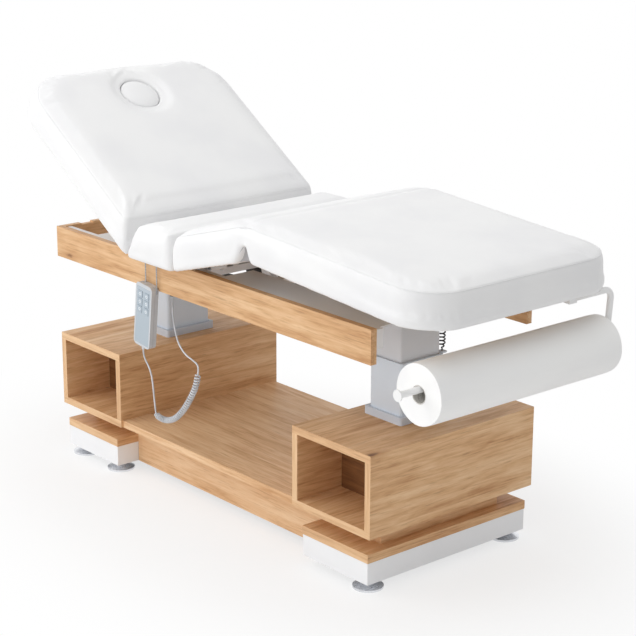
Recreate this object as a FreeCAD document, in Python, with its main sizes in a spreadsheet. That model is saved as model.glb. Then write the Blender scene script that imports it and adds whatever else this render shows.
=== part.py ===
# Spa bed with cabinet base: cabinets, lifting columns, hinged frame, pads, paper roll and handset
import FreeCAD, Part
import Sketcher
import math
import os
import re
from types import SimpleNamespace
from FreeCAD import Placement, Rotation, Vector

os.makedirs("parts", exist_ok=True)
doc = FreeCAD.newDocument("SpaBed")
sheet = doc.addObject("Spreadsheet::Sheet", "Sizes")

# Driving sizes in millimetres and degrees, X toward the foot end, Y away from the handset side, Z up
SIZES = [
    # Place of the whole bed: moves the middle of its outline onto the origin
    ("shift_x", -65.22), ("shift_y", 9),
    # Cabinets, deck, aprons, risers and plinths
    ("bay_half_length", 415), ("cabinet_length", 322), ("cabinet_depth", 625), ("cabinet_bottom", 165),
    ("cabinet_height", 238), ("board_thickness", 22), ("niche_column_gap", 45), ("deck_recess", 8),
    ("apron_half_depth", 225), ("plinth_inner_x", 450), ("riser_length", 237), ("riser_height", 50),
    ("plinth_length", 272), ("plinth_half_depth", 305), ("plinth_board_thickness", 25),
    ("block_inset", 1.5), ("floor_gap", 26),
    # Levelling feet
    ("foot_disc_radius", 43), ("foot_disc_edge", 6), ("foot_cone_height", 17), ("foot_hub_radius", 13),
    ("foot_stem_radius", 6), ("foot_stem_length", 50), ("stem_clearance", 0.05), ("stem_bore_spare", 4),
    ("foot_inset_x", 40), ("foot_inset_y", 39),
    # Lifting columns
    ("column_x", 540), ("outer_tube_length", 128), ("outer_tube_width", 163), ("outer_tube_top", 576),
    ("outer_tube_corner", 9), ("inner_tube_length", 107), ("inner_tube_width", 148),
    ("inner_tube_wall", 4), ("inner_tube_corner", 5), ("inner_tube_bottom", 298), ("tube_gap", 0.65),
    ("cover_length", 152), ("cover_width", 183), ("cover_height", 22.5), ("cover_gap", 0.3),
    ("cover_corner", 8), ("cover_seam", 0.8), ("cutout_gap", 1),
    # Frame that the columns carry
    ("frame_bottom", 708), ("frame_top", 740), ("column_beam_half", 60), ("beam_wall", 3),
    ("rail_outer_y", 303.6), ("rail_thickness", 20), ("rail_head_x", -758), ("rail_foot_x", 723),
    ("rail_bottom", 649), ("rail_top", 746), ("side_tube_width", 23), ("side_tube_bottom", 691),
    ("side_tube_top", 743), ("flange_inner_y", 150), ("flange_thickness", 3),
    ("flange_head_x", 45), ("flange_foot_x", 700), ("cross_tube_bottom", 705), ("cross_tube_top", 725),
    ("back_cross_head_x", -275), ("back_cross_foot_x", -235), ("thigh_cross_head_x", -115),
    ("thigh_cross_foot_x", -75), ("back_drive_cross_head_x", 105), ("back_drive_cross_foot_x", 135),
    ("thigh_drive_cross_head_x", -470), ("thigh_drive_cross_foot_x", -440),
    ("link_cross_head_x", 210), ("link_cross_foot_x", 240), ("bearer_y", 120), ("bearer_width", 20),
    ("pad_bottom", 748),
    # Hinges
    ("hinge_z", 738), ("back_hinge_x", -290), ("thigh_hinge_x", -60), ("hinge_y", 200),
    ("bar_width", 40), ("bar_thickness", 6), ("eye_radius", 9), ("pin_radius", 4),
    ("pin_clearance", 0.05), ("ear_thickness", 7.5), ("ear_gap", 0.5), ("ear_rise", 6), ("ear_root", 5),
    ("pin_overhang", 4), ("bar_seat_gap", 2),
    # Poses in the photograph, degrees from lying flat
    ("back_rest_angle", 33), ("thigh_rest_angle", 16), ("leg_rest_angle", 4.1),
    # Pads
    ("pad_half_width", 375), ("board_inset", 22), ("board_height", 15), ("board_gap", 0.3),
    ("board_corner", 3), ("boxing_draw", 9), ("crown_draw", 81.5),
    ("seam_height", 98), ("crown_height", 112), ("back_seam_height", 86), ("back_crown_height", 106),
    ("small_corner", 22), ("head_corner", 145), ("foot_corner", 140),
    ("seat_head_x", -284), ("seat_foot_x", -62), ("seat_face_height", 10), ("seat_chamfer", 40),
    ("seat_foot_lean", 11), ("back_start", 6), ("back_length", 722), ("back_lean", 62),
    ("thigh_start", 6), ("thigh_lean", 32), ("knee_x", 368.6), ("knee_height", 62.8),
    ("notch_height", 53), ("thigh_end_low", 314), ("thigh_end_notch", 367), ("thigh_end_high", 365),
    ("leg_start_low", 24), ("leg_start_notch", 1), ("leg_start_high", 3), ("leg_length", 724),
    ("frame_margin", 60), ("leg_bar_start", 8), ("leg_bar_margin", 26),
    # Face hole and its plug
    ("face_hole_inset", 146), ("face_hole_radius", 66), ("plug_radius", 65), ("plug_hole_radius", 56),
    ("plug_height", 80), ("plug_dish", 5), ("plug_crown", 4),
    # Knee hinge and leg link
    ("knee_arm_y", 190), ("knee_arm_thickness", 7), ("knee_arm_gap", 6), ("knee_arm_half", 9),
    ("knee_arm_foot", 44), ("knee_bar_clear", 32), ("knee_pocket_half_width", 18),
    ("knee_pocket_x", 25), ("knee_pocket_low", 31), ("knee_pocket_high", 12), ("knee_pocket_gap", 2),
    ("link_x", 255.5), ("link_z", 698.2), ("link_y", 130), ("link_length", 205.7), ("link_angle", 36.1),
    ("link_thickness", 8), ("link_half_height", 8), ("link_far_x", 150), ("link_far_z", -70),
    ("fork_plate", 8), ("fork_gap", 1),
    # Actuators
    ("drive_y", 60), ("back_drive_x", 100), ("back_drive_z", 600), ("thigh_drive_x", -455),
    ("thigh_drive_z", 620), ("back_lever_x", -20), ("back_lever_z", -80), ("thigh_lever_x", 60),
    ("thigh_lever_z", -100), ("drive_eye_radius", 12), ("drive_eye_half", 9), ("drive_pin_radius", 5),
    ("drive_plate", 6), ("drive_plate_half", 14), ("housing_radius", 24), ("housing_start", 20),
    ("back_housing_length", 330), ("thigh_housing_length", 300), ("motor_radius", 30),
    ("motor_length", 110), ("motor_drop", 48), ("rod_radius", 8), ("rod_bore_gap", 0.05),
    ("rod_inside", 130), ("housing_wall_end", 60),
    # Control box and its socket
    ("box_head_x", -238), ("box_foot_x", -93), ("box_near_y", -276), ("box_far_y", -150),
    ("box_bottom", 636), ("box_top", 690), ("box_corner", 6), ("socket_x", -208), ("socket_y", -258),
    ("socket_radius", 6.5), ("socket_length", 9), ("inlet_x", -138), ("inlet_y", -215),
    ("inlet_half_length", 14), ("inlet_half_width", 10), ("inlet_depth", 16),
    # Paper roll and its holder
    ("roll_inset", 51.4), ("roll_rod_z", -208.4), ("roll_rod_radius", 9), ("roll_rod_near_y", -401),
    ("roll_disc_radius", 15.5), ("roll_disc_thickness", 4), ("holder_far_y", 378), ("holder_bend", 28),
    ("holder_inner_y", 200), ("holder_gap", 0.3), ("core_bore_radius", 23), ("core_wall", 2.5),
    ("paper_radius", 83), ("paper_near_y", -331), ("paper_far_y", 349), ("clamp_half", 15),
    ("clamp_height", 8),
    # Handset, its buttons and hanger
    ("handset_x", -259), ("handset_z", 568), ("handset_near_y", -331), ("handset_width", 80),
    ("handset_height", 198), ("handset_depth", 25), ("handset_tilt", 6.4), ("handset_corner", 14),
    ("button_width", 22), ("button_height", 20), ("button_pitch_x", 32),
    ("button_pitch_z", 24), ("button_top_z", 65), ("button_proud", 1.6), ("button_depth", 5),
    ("button_gap", 0.3), ("button_corner", 3), ("wire_near_x", -264.5), ("wire_pitch", 55),
    ("wire_radius", 2), ("wire_y", -312.5), ("wire_inside", 22), ("wire_gap", 0.4),
    ("wire_bend", 6), ("wire_rail_inside", 18), ("wire_notch_gap", 0.3),
    ("relief_radius", 5), ("relief_length", 12), ("relief_offset", -6),
    # Handset cord and the dark spiral cable on the foot column
    ("cord_radius", 2.5), ("lead_run", 22), ("curl_outer_radius", 9.8), ("curl_count", 34),
    ("cable_x", 580), ("cable_y", 96), ("cable_outer_radius", 10), ("cable_radius", 2.1),
    ("cable_turns", 12), ("cable_clip_height", 5),
]
for row, (alias, value) in enumerate(SIZES, start=1):
    sheet.set(f"A{row}", alias)
    sheet.set(f"B{row}", str(value))
    sheet.setAlias(f"B{row}", alias)
doc.recompute()
size = SimpleNamespace(**{alias: float(sheet.get(alias)) for alias, value in SIZES})

ALIAS = re.compile(r"\b[a-z]+(?:_[a-z]+)+\b")
UP = Vector(0, 0, 1)
ACROSS = Vector(0, 1, 0)
LENGTHWAYS = Vector(1, 0, 0)
FINE = 1e-6

# Places that follow the ends of the sections
FACE_HOLE_X = "back_length - face_hole_inset"
ROLL_ROD_X = "leg_length - roll_inset"
face_hole_x = size.back_length - size.face_hole_inset
roll_rod_x = size.leg_length - size.roll_inset


def bound(text):
    """Turns a sum of plain size names into an expression on the sheet."""
    return ALIAS.sub(lambda found: "Sizes." + found.group(0), text)


def bind(thing, target, text):
    thing.setExpression(target, bound(text))


def less(high, low):
    return f"({high}) - ({low})"


def block(name, span_x, span_y, span_z):
    """A cuboid between two named places along each axis."""
    piece = doc.addObject("Part::Box", name)
    for target, axis, (low, high) in zip(("Length", "Width", "Height"), "xyz", (span_x, span_y, span_z)):
        bind(piece, target, less(high, low))
        bind(piece, f"Placement.Base.{axis}", low)
    return piece


def across(span_y):
    low, high = span_y
    return (f"-({high})", f"-({low})")


def mirrored_blocks(name, span_x, span_y, span_z):
    """The same cuboid on the near and on the far side."""
    return [block(name, span_x, across(span_y), span_z), block(name, span_x, span_y, span_z)]


def turned_pin(name, centre_x, centre_z, span_y, radius):
    """A cylinder lying across the bed."""
    piece = doc.addObject("Part::Cylinder", name)
    low, high = span_y
    piece.Placement = Placement(Vector(), Rotation(Vector(1, 0, 0), -90))
    bind(piece, "Radius", radius)
    bind(piece, "Height", less(high, low))
    bind(piece, "Placement.Base.x", centre_x)
    bind(piece, "Placement.Base.y", low)
    bind(piece, "Placement.Base.z", centre_z)
    return piece


def upright_pin(name, centre_x, centre_y, span_z, radius):
    piece = doc.addObject("Part::Cylinder", name)
    low, high = span_z
    bind(piece, "Radius", radius)
    bind(piece, "Height", less(high, low))
    bind(piece, "Placement.Base.x", centre_x)
    bind(piece, "Placement.Base.y", centre_y)
    bind(piece, "Placement.Base.z", low)
    return piece


def lengthwise_rod(name, span_x, centre_y, centre_z, radius):
    piece = doc.addObject("Part::Cylinder", name)
    low, high = span_x
    piece.Placement = Placement(Vector(), Rotation(ACROSS, 90))
    bind(piece, "Radius", radius)
    bind(piece, "Height", less(high, low))
    bind(piece, "Placement.Base.x", low)
    bind(piece, "Placement.Base.y", centre_y)
    bind(piece, "Placement.Base.z", centre_z)
    return piece


def joined(name, pieces):
    result = doc.addObject("Part::MultiFuse", name)
    result.Shapes = pieces
    result.Refine = True
    return result


def grouped(name, pieces):
    result = doc.addObject("Part::Compound", name)
    result.Links = pieces
    return result


def cut_from(name, base, tools):
    result = doc.addObject("Part::Cut", name)
    result.Base = base
    result.Tool = tools[0] if len(tools) == 1 else grouped(name + "_tools", tools)
    return result


def origin_plane(body, role):
    return next(feature for feature in body.Origin.OriginFeatures if feature.Role == role)


def new_sketch(body, name, role):
    sketch = body.newObject("Sketcher::SketchObject", name)
    sketch.AttachmentSupport = [(origin_plane(body, role), "")]
    sketch.MapMode = "FlatFace"
    return sketch


def sketched_outline(sketch, corners):
    """A closed outline whose corners are bound to named sizes."""
    count = len(corners)
    start = [Vector(index, index * index, 0) for index in range(count)]
    for index in range(count):
        sketch.addGeometry(Part.LineSegment(start[index], start[(index + 1) % count]), False)
    for index in range(count):
        after = (index + 1) % count
        sketch.addConstraint(Sketcher.Constraint("Coincident", index, 2, after, 1))
    for index, (first, second) in enumerate(corners):
        for kind, text in (("DistanceX", first), ("DistanceY", second)):
            place = sketch.addConstraint(Sketcher.Constraint(kind, -1, 1, index, 1, 0))
            bind(sketch, f"Constraints[{place}]", text)


def prism(name, corners, span_y):
    """A plate across the bed with an outline in X and Z."""
    sketch = doc.addObject("Sketcher::SketchObject", name + "_outline")
    sketch.Placement = Placement(Vector(), Rotation(Vector(1, 0, 0), 90))
    sketched_outline(sketch, corners)
    low, high = span_y
    bind(sketch, "Placement.Base.y", high)
    plate = doc.addObject("Part::Extrusion", name)
    plate.Base = sketch
    plate.DirMode = "Custom"
    plate.Dir = -ACROSS
    plate.Solid = True
    bind(plate, "LengthFwd", less(high, low))
    return plate


def rectangle(sketch, span_x, span_y):
    (low_x, high_x), (low_y, high_y) = span_x, span_y
    sketched_outline(sketch, [(low_x, low_y), (high_x, low_y), (high_x, high_y), (low_x, high_y)])


def edges_along(shape, axis, keep=lambda middle: True):
    names = []
    for index, edge in enumerate(shape.Edges, start=1):
        if not isinstance(edge.Curve, Part.Line):
            continue
        along = edge.tangentAt(edge.FirstParameter)
        if abs(abs(along.dot(axis)) - 1) < FINE and keep(edge.CenterOfMass):
            names.append(f"Edge{index}")
    return names


def padded_body(name, span_x, span_y, height, corner):
    """A body grown up from the XY plane with rounded upright edges."""
    body = doc.addObject("PartDesign::Body", name)
    sketch = new_sketch(body, name + "_outline", "XY_Plane")
    rectangle(sketch, span_x, span_y)
    pad = body.newObject("PartDesign::Pad", name + "_pad")
    pad.Profile = sketch
    bind(pad, "Length", height)
    doc.recompute()
    fillet = body.newObject("PartDesign::Fillet", name + "_corners")
    fillet.Base = (pad, edges_along(pad.Shape, UP))
    bind(fillet, "Radius", corner)
    doc.recompute()
    return body


def pocket_through(body, name, span_x, span_y):
    sketch = new_sketch(body, name + "_outline", "XY_Plane")
    rectangle(sketch, span_x, span_y)
    before = body.Shape.Volume
    pocket = body.newObject("PartDesign::Pocket", name)
    pocket.Profile = sketch
    pocket.Type = "ThroughAll"
    pocket.SideType = "Symmetric"
    doc.recompute()
    if body.Shape.Volume >= before:
        raise RuntimeError(name + " removed nothing")
    return pocket


def revolved_body(name, corners):
    """A body turned about the Z axis from an outline of radius and height."""
    body = doc.addObject("PartDesign::Body", name)
    sketch = new_sketch(body, name + "_profile", "XZ_Plane")
    sketched_outline(sketch, corners)
    turn = body.newObject("PartDesign::Revolution", name + "_turn")
    turn.Profile = sketch
    turn.ReferenceAxis = (sketch, ["V_Axis"])
    doc.recompute()
    return body


def rounded(name, base, radius, axis=UP, keep=lambda middle: True):
    """Rounds the straight edges of a piece that run along an axis."""
    doc.recompute()
    result = doc.addObject("Part::Fillet", name)
    result.Base = base
    chosen = edges_along(base.Shape, axis, keep)
    result.Edges = [(int(edge[4:]), radius, radius) for edge in chosen]
    doc.recompute()
    return result


nodes = []


def finish(name, piece):
    piece.Label = name
    nodes.append(piece)
    return piece


def shifted(name, piece):
    """A node modelled in the bed's own coordinates, moved with the whole bed."""
    if piece.TypeId in ("Part::Box", "Part::Cylinder", "PartDesign::Body"):
        piece.Label = name + "_piece"
        piece = grouped(name, [piece])
    bind(piece, "Placement.Base.x", "shift_x")
    bind(piece, "Placement.Base.y", "shift_y")
    return finish(name, piece)


def at_pose(name, piece, pose):
    """A node modelled flat from its hinge, set at its pose in the photograph."""
    if piece.TypeId in ("Part::Box", "Part::Cylinder", "PartDesign::Body"):
        piece.Label = name + "_piece"
        piece = grouped(name, [piece])
    piece.Placement = pose
    return finish(name, piece)


def solid_feature(name, shape):
    feature = doc.addObject("Part::Feature", name)
    feature.Shape = shape
    return feature


# Poses of the tilted sections, each from its hinge
SHIFT = Vector(size.shift_x, size.shift_y, 0)
BACK_TURN = Rotation(ACROSS, size.back_rest_angle)
THIGH_TURN = Rotation(ACROSS, -size.thigh_rest_angle)
LEG_TURN = Rotation(ACROSS, size.leg_rest_angle)
BACK_HINGE = Vector(size.back_hinge_x, 0, size.hinge_z)
THIGH_HINGE = Vector(size.thigh_hinge_x, 0, size.hinge_z)
KNEE = THIGH_HINGE + THIGH_TURN.multVec(Vector(size.knee_x, 0, size.knee_height))
BACK_POSE = Placement(SHIFT + BACK_HINGE, BACK_TURN)
THIGH_POSE = Placement(SHIFT + THIGH_HINGE, THIGH_TURN)
LEG_POSE = Placement(SHIFT + KNEE, LEG_TURN)


# Base: two open cabinets on plinths with a deck between them
def cabinet(side, inner, outer):
    half = "cabinet_depth / 2"
    low, high = "cabinet_bottom", "cabinet_bottom + cabinet_height"
    depth = ("-" + half, half)
    span_x = (inner, outer)
    bottom = block(side + "_bottom", span_x, depth, (low, f"{low} + board_thickness"))
    top = block(side + "_top", span_x, depth, (f"{high} - board_thickness", high))
    column = "-column_x" if side == "head" else "column_x"
    reach_x = "(outer_tube_length / 2 + cutout_gap)"
    reach_y = "(outer_tube_width / 2 + cutout_gap)"
    cutout = block(side + "_cutout", (f"{column} - {reach_x}", f"{column} + {reach_x}"),
                   ("-" + reach_y, reach_y), (f"{high} - board_thickness", high))
    top = cut_from(side + "_top_cut", top, [cutout])
    shifted(f"{side}_cabinet_top_bottom", grouped(side + "_boards", [bottom, top]))
    inner_z = (f"{low} + board_thickness", f"{high} - board_thickness")
    sides = [
        block(side + "_side", (inner, f"{inner} + board_thickness"), depth, inner_z),
        block(side + "_side", (f"{outer} - board_thickness", outer), depth, inner_z),
    ]
    shifted(f"{side}_cabinet_sides", grouped(side + "_sides", sides))
    inside = (f"{inner} + board_thickness", f"{outer} - board_thickness")
    niche = ("outer_tube_width / 2 + niche_column_gap",
             "outer_tube_width / 2 + niche_column_gap + board_thickness")
    backs = mirrored_blocks(side + "_niche_back", inside, niche, inner_z)
    shifted(f"{side}_cabinet_niche_backs", grouped(side + "_niches", backs))


def deck_and_aprons():
    half = "cabinet_depth / 2 - deck_recess"
    deck = block("deck", ("-bay_half_length", "bay_half_length"), (f"-({half})", half),
                 ("cabinet_bottom", "cabinet_bottom + board_thickness"))
    shifted("deck_board", deck)
    aprons = mirrored_blocks("apron", ("-plinth_inner_x", "plinth_inner_x"),
                             ("apron_half_depth - board_thickness", "apron_half_depth"),
                             ("floor_gap", "cabinet_bottom"))
    shifted("deck_aprons", grouped("aprons", aprons))


def risers_and_plinths():
    riser_low = "cabinet_bottom - riser_height"
    plinth_low = f"{riser_low} - plinth_board_thickness"
    risers, boards, blocks = [], [], []
    for side in (-1, 1):
        near, far = "plinth_inner_x", "plinth_inner_x + riser_length"
        high_x = "plinth_inner_x + plinth_length"

        def along(low, high, side=side):
            return (low, high) if side > 0 else (f"-({high})", f"-({low})")

        rise = (riser_low, "cabinet_bottom")
        risers += mirrored_blocks("riser_long", along(near, far),
                                  ("apron_half_depth - board_thickness", "apron_half_depth"), rise)
        cross = ("-(apron_half_depth - board_thickness)", "apron_half_depth - board_thickness")
        risers.append(block("riser_cross", along(near, f"{near} + board_thickness"), cross, rise))
        risers.append(block("riser_cross", along(f"{far} - board_thickness", far), cross, rise))
        deep = ("-plinth_half_depth", "plinth_half_depth")
        boards.append(block("plinth_board", along(near, high_x), deep, (plinth_low, riser_low)))
        block_x = along(f"{near} + block_inset", f"{high_x} - block_inset")
        block_y = ("-(plinth_half_depth - block_inset)", "plinth_half_depth - block_inset")
        lump = block("plinth_block", block_x, block_y, ("floor_gap", plinth_low))
        bores = []
        for x, y, owner in FEET:
            if owner == side:
                bore = ("floor_gap", "floor_gap + foot_stem_length + stem_bore_spare")
                bores.append(upright_pin("stem_bore", x, y, bore, "foot_stem_radius + stem_clearance"))
        blocks.append(cut_from("plinth_block_bored", lump, bores))
    shifted("risers", grouped("riser_boards", risers))
    shifted("plinth_boards", grouped("plinth_board_pair", boards))
    shifted("plinth_blocks", grouped("plinth_block_pair", blocks))


FOOT_OUTER_X = "plinth_inner_x + plinth_length - foot_inset_x"
FOOT_INNER_X = "plinth_inner_x + foot_inset_x"
FOOT_Y = "plinth_half_depth - foot_inset_y"
FEET = [
    (f"-({FOOT_OUTER_X})", f"-({FOOT_Y})", -1), (f"-({FOOT_OUTER_X})", FOOT_Y, -1),
    (f"-({FOOT_INNER_X})", f"-({FOOT_Y})", -1), (f"-({FOOT_INNER_X})", FOOT_Y, -1),
    (FOOT_OUTER_X, f"-({FOOT_Y})", 1), (FOOT_OUTER_X, FOOT_Y, 1),
]


def levelling_feet():
    profile = [
        ("0", "0"), ("foot_disc_radius", "0"), ("foot_disc_radius", "foot_disc_edge"),
        ("foot_hub_radius", "foot_cone_height"), ("foot_hub_radius", "floor_gap"),
        ("foot_stem_radius", "floor_gap"), ("foot_stem_radius", "floor_gap + foot_stem_length"),
        ("0", "floor_gap + foot_stem_length"),
    ]
    for number, (x, y, owner) in enumerate(FEET, start=1):
        foot = revolved_body(f"foot_body_{number}", profile)
        bind(foot, "Placement.Base.x", x)
        bind(foot, "Placement.Base.y", y)
        shifted(f"levelling_foot_{number}", foot)


# Two telescoping lift columns
def columns():
    outer, inner, covers = [], [], []
    for side, name in (("-1", "head"), ("1", "foot")):
        centre = f"{side} * column_x"

        def around(reach):
            return (f"{centre} - ({reach})", f"{centre} + ({reach})")

        def wide(reach):
            return (f"-({reach})", reach)

        bottom = "cabinet_bottom + board_thickness"
        body = padded_body(name + "_outer_tube", around("outer_tube_length / 2"),
                           wide("outer_tube_width / 2"), f"outer_tube_top - ({bottom})",
                           "outer_tube_corner")
        pocket_through(body, name + "_outer_bore", around("inner_tube_length / 2 + tube_gap"),
                       wide("inner_tube_width / 2 + tube_gap"))
        bind(body, "Placement.Base.z", bottom)
        outer.append(body)
        body = padded_body(name + "_inner_tube", around("inner_tube_length / 2"),
                           wide("inner_tube_width / 2"), "frame_bottom - inner_tube_bottom",
                           "inner_tube_corner")
        pocket_through(body, name + "_inner_bore", around("inner_tube_length / 2 - inner_tube_wall"),
                       wide("inner_tube_width / 2 - inner_tube_wall"))
        bind(body, "Placement.Base.z", "inner_tube_bottom")
        inner.append(body)
        body = padded_body(name + "_cover", around("cover_length / 2"), wide("cover_width / 2"),
                           "cover_height", "cover_corner")
        pocket_through(body, name + "_cover_bore", around("outer_tube_length / 2 + cover_gap"),
                       wide("outer_tube_width / 2 + cover_gap"))
        bind(body, "Placement.Base.z", "cabinet_bottom + cabinet_height")
        seam = block(name + "_cover_seam", around("cover_length"), wide("cover_seam / 2"),
                     ("cabinet_bottom + cabinet_height",
                      "cabinet_bottom + cabinet_height + cover_height"))
        covers.append(cut_from(name + "_cover_halves", body, [seam]))
    clip_z = ("outer_tube_top - cable_clip_height", "outer_tube_top")
    clip = block("cable_clip", ("cable_x - cable_outer_radius", "cable_x + cable_outer_radius"),
                 ("outer_tube_width / 2 - outer_tube_corner / 4",
                  "cable_y + cable_outer_radius"), clip_z)
    outer[1] = joined("foot_outer_with_clip", [outer[1], clip])
    shifted("column_outer_tubes", grouped("outer_tubes", outer))
    shifted("column_inner_tubes", grouped("inner_tubes", inner))
    shifted("column_covers", grouped("cover_pair", covers))


# Upper frame: rails, tubes, ears and brackets
SIDE_OUTER = "rail_outer_y - rail_thickness"
SIDE_INNER = f"{SIDE_OUTER} - side_tube_width"


def rails():
    side = (SIDE_OUTER, "rail_outer_y")
    height = ("rail_bottom", "rail_top")
    near = block("near_rail_board", ("rail_head_x", "rail_foot_x"), across(side), height)
    low = "rail_top - 2 * wire_radius - wire_notch_gap"
    notches = []
    for x in ("wire_near_x", "wire_near_x + wire_pitch"):
        half = "wire_radius + wire_notch_gap"
        notches.append(block("wire_notch", (f"{x} - ({half})", f"{x} + {half}"),
                             ("-rail_outer_y", "-rail_outer_y + wire_rail_inside + wire_notch_gap"),
                             (low, "rail_top")))
    shifted("near_rail", cut_from("near_rail_notched", near, notches))
    shifted("far_rail", block("far_rail_board", ("rail_head_x", "rail_foot_x"), side, height))
    inside = (f"-({SIDE_OUTER})", SIDE_OUTER)
    thick = ("rail_head_x", "rail_head_x + rail_thickness")
    head = block("head_rail_board", thick, inside, height)
    seats = []
    for side in ("-hinge_y", "hinge_y"):
        half = "bar_width / 2 + bar_seat_gap"
        seats.append(block("bar_seat", thick, (f"{side} - ({half})", f"{side} + {half}"),
                           ("pad_bottom - 2 * board_gap - bar_thickness", "rail_top")))
    shifted("head_rail", cut_from("head_rail_seated", head, seats))


def hollow(name, span_x, span_z, half_width):
    """A rectangular tube across the frame, its ends closed by the side tubes."""
    whole = (f"-({half_width})", half_width)
    outside = block(name, span_x, whole, span_z)
    inside = block(name + "_inside", (f"{span_x[0]} + beam_wall", f"{span_x[1]} - beam_wall"), whole,
                   (f"{span_z[0]} + beam_wall", f"{span_z[1]} - beam_wall"))
    return cut_from(name + "_tube", outside, [inside])


def fork(name, centre_y, gap_half, plate, corners, centre_x, centre_z, radius, bore):
    """Two plates either side of an eye, each with a round end and a bore."""
    pieces = []
    for side in (-1, 1):
        near = f"{centre_y} + {side} * ({gap_half})"
        away = f"{centre_y} + {side} * ({gap_half} + {plate})"
        span = (near, away) if side > 0 else (away, near)
        web = prism(name + "_web", corners, span)
        end = turned_pin(name + "_end", centre_x, centre_z, span, radius)
        solid = joined(name + "_plate", [web, end])
        if bore:
            hole = turned_pin(name + "_bore", centre_x, centre_z, span, bore)
            solid = cut_from(name + "_bored", solid, [hole])
        pieces.append(solid)
    return pieces


def ears(name, axis_x, root_x):
    """Four ears that carry the two hinge eyes of a section."""
    low = "cross_tube_top - ear_root"
    high = "hinge_z + ear_rise"
    first, last = (axis_x, root_x)
    corners = [(first, low), (last, low), (last, high), (first, high)]
    pieces = []
    for centre in ("-hinge_y", "hinge_y"):
        pieces += fork(name, centre, "bar_width / 2 + ear_gap", "ear_thickness", corners, axis_x,
                       "hinge_z", "eye_radius", "pin_radius")
    return pieces


def lift_frame():
    height = ("side_tube_bottom", "side_tube_top")
    long_x = ("rail_head_x + rail_thickness", "rail_foot_x")
    pieces = []
    for span in (across((SIDE_INNER, SIDE_OUTER)), (SIDE_INNER, SIDE_OUTER)):
        outside = block("side_tube", long_x, span, height)
        inside = block("side_tube_inside", (long_x[0], "rail_foot_x - beam_wall"),
                       (f"{span[0]} + beam_wall", f"{span[1]} - beam_wall"),
                       ("side_tube_bottom + beam_wall", "side_tube_top - beam_wall"))
        pieces.append(cut_from("side_tube_hollow", outside, [inside]))
    for centre in ("-column_x", "column_x"):
        span = (f"{centre} - column_beam_half", f"{centre} + column_beam_half")
        pieces.append(hollow("column_beam", span, ("frame_bottom", "frame_top"), SIDE_INNER))
    for first, last in (("back_cross_head_x", "back_cross_foot_x"),
                        ("thigh_cross_head_x", "thigh_cross_foot_x"),
                        ("back_drive_cross_head_x", "back_drive_cross_foot_x"),
                        ("thigh_drive_cross_head_x", "thigh_drive_cross_foot_x"),
                        ("link_cross_head_x", "link_cross_foot_x")):
        pieces.append(hollow("cross", (first, last), ("cross_tube_bottom", "cross_tube_top"),
                             SIDE_INNER))
    pieces += mirrored_blocks("flange", ("flange_head_x", "flange_foot_x"),
                              ("flange_inner_y", SIDE_INNER),
                              ("frame_top - flange_thickness", "frame_top"))
    pieces += mirrored_blocks("bearer", ("back_cross_head_x", "thigh_cross_foot_x"),
                              ("bearer_y - bearer_width / 2", "bearer_y + bearer_width / 2"),
                              ("cross_tube_top", "pad_bottom"))
    pieces += ears("back_ear", "back_hinge_x", "back_hinge_x + bar_width")
    pieces += ears("thigh_ear", "thigh_hinge_x", "thigh_hinge_x - bar_width")
    for name, centre_y, x, z, root in (
            ("back_drive", "drive_y", "back_drive_x", "back_drive_z", "back_drive_cross_foot_x"),
            ("thigh_drive", "-drive_y", "thigh_drive_x", "thigh_drive_z", "thigh_drive_cross_foot_x")):
        corners = [(f"{x} - drive_plate_half", z), (f"{x} + drive_plate_half", z),
                   (root, "cross_tube_bottom + ear_root"),
                   (f"{root} - bar_width + ear_root", "cross_tube_bottom + ear_root")]
        pieces += fork(name, centre_y, "drive_eye_half + fork_gap", "drive_plate", corners, x, z,
                       "drive_plate_half", "drive_pin_radius")
    for centre_y in ("-link_y", "link_y"):
        corners = [("link_cross_foot_x - bar_width / 2", "cross_tube_bottom - ear_root"),
                   ("link_x", "link_z - eye_radius"), ("link_x", "link_z + eye_radius"),
                   ("link_cross_foot_x - bar_width / 2", "cross_tube_bottom + ear_root")]
        pieces += fork("link_ear", centre_y, "link_thickness / 2 + fork_gap", "fork_plate", corners,
                       "link_x", "link_z", "eye_radius", "pin_radius")
    hanger_y = ("box_near_y + bar_width", "box_far_y - box_corner")
    for x in ("back_cross_foot_x - bar_width / 4", "thigh_cross_head_x"):
        pieces.append(block("box_hanger", (x, f"{x} + bar_width / 4"), hanger_y,
                            ("box_top", "cross_tube_bottom + beam_wall")))
    shifted("lift_frame", joined("frame", pieces))


def hinge_pins():
    pins = []
    reach = "bar_width / 2 + ear_gap + ear_thickness + pin_overhang"
    for x in ("back_hinge_x", "thigh_hinge_x"):
        for centre in ("-hinge_y", "hinge_y"):
            pins.append(turned_pin("hinge_pin", x, "hinge_z", (f"{centre} - ({reach})",
                        f"{centre} + ({reach})"), "pin_radius"))
    reach = "drive_eye_half + fork_gap + drive_plate + pin_overhang"
    for x, z, centre in (("back_drive_x", "back_drive_z", "drive_y"),
                         ("thigh_drive_x", "thigh_drive_z", "-drive_y")):
        pins.append(turned_pin("drive_pin", x, z, (f"{centre} - ({reach})", f"{centre} + ({reach})"),
                               "drive_pin_radius"))
    reach = "link_thickness / 2 + fork_gap + fork_plate + pin_overhang"
    for centre in ("-link_y", "link_y"):
        pins.append(turned_pin("link_pin", "link_x", "link_z", (f"{centre} - ({reach})",
                    f"{centre} + ({reach})"), "pin_radius"))
    shifted("hinge_pins", grouped("pins", pins))


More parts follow.
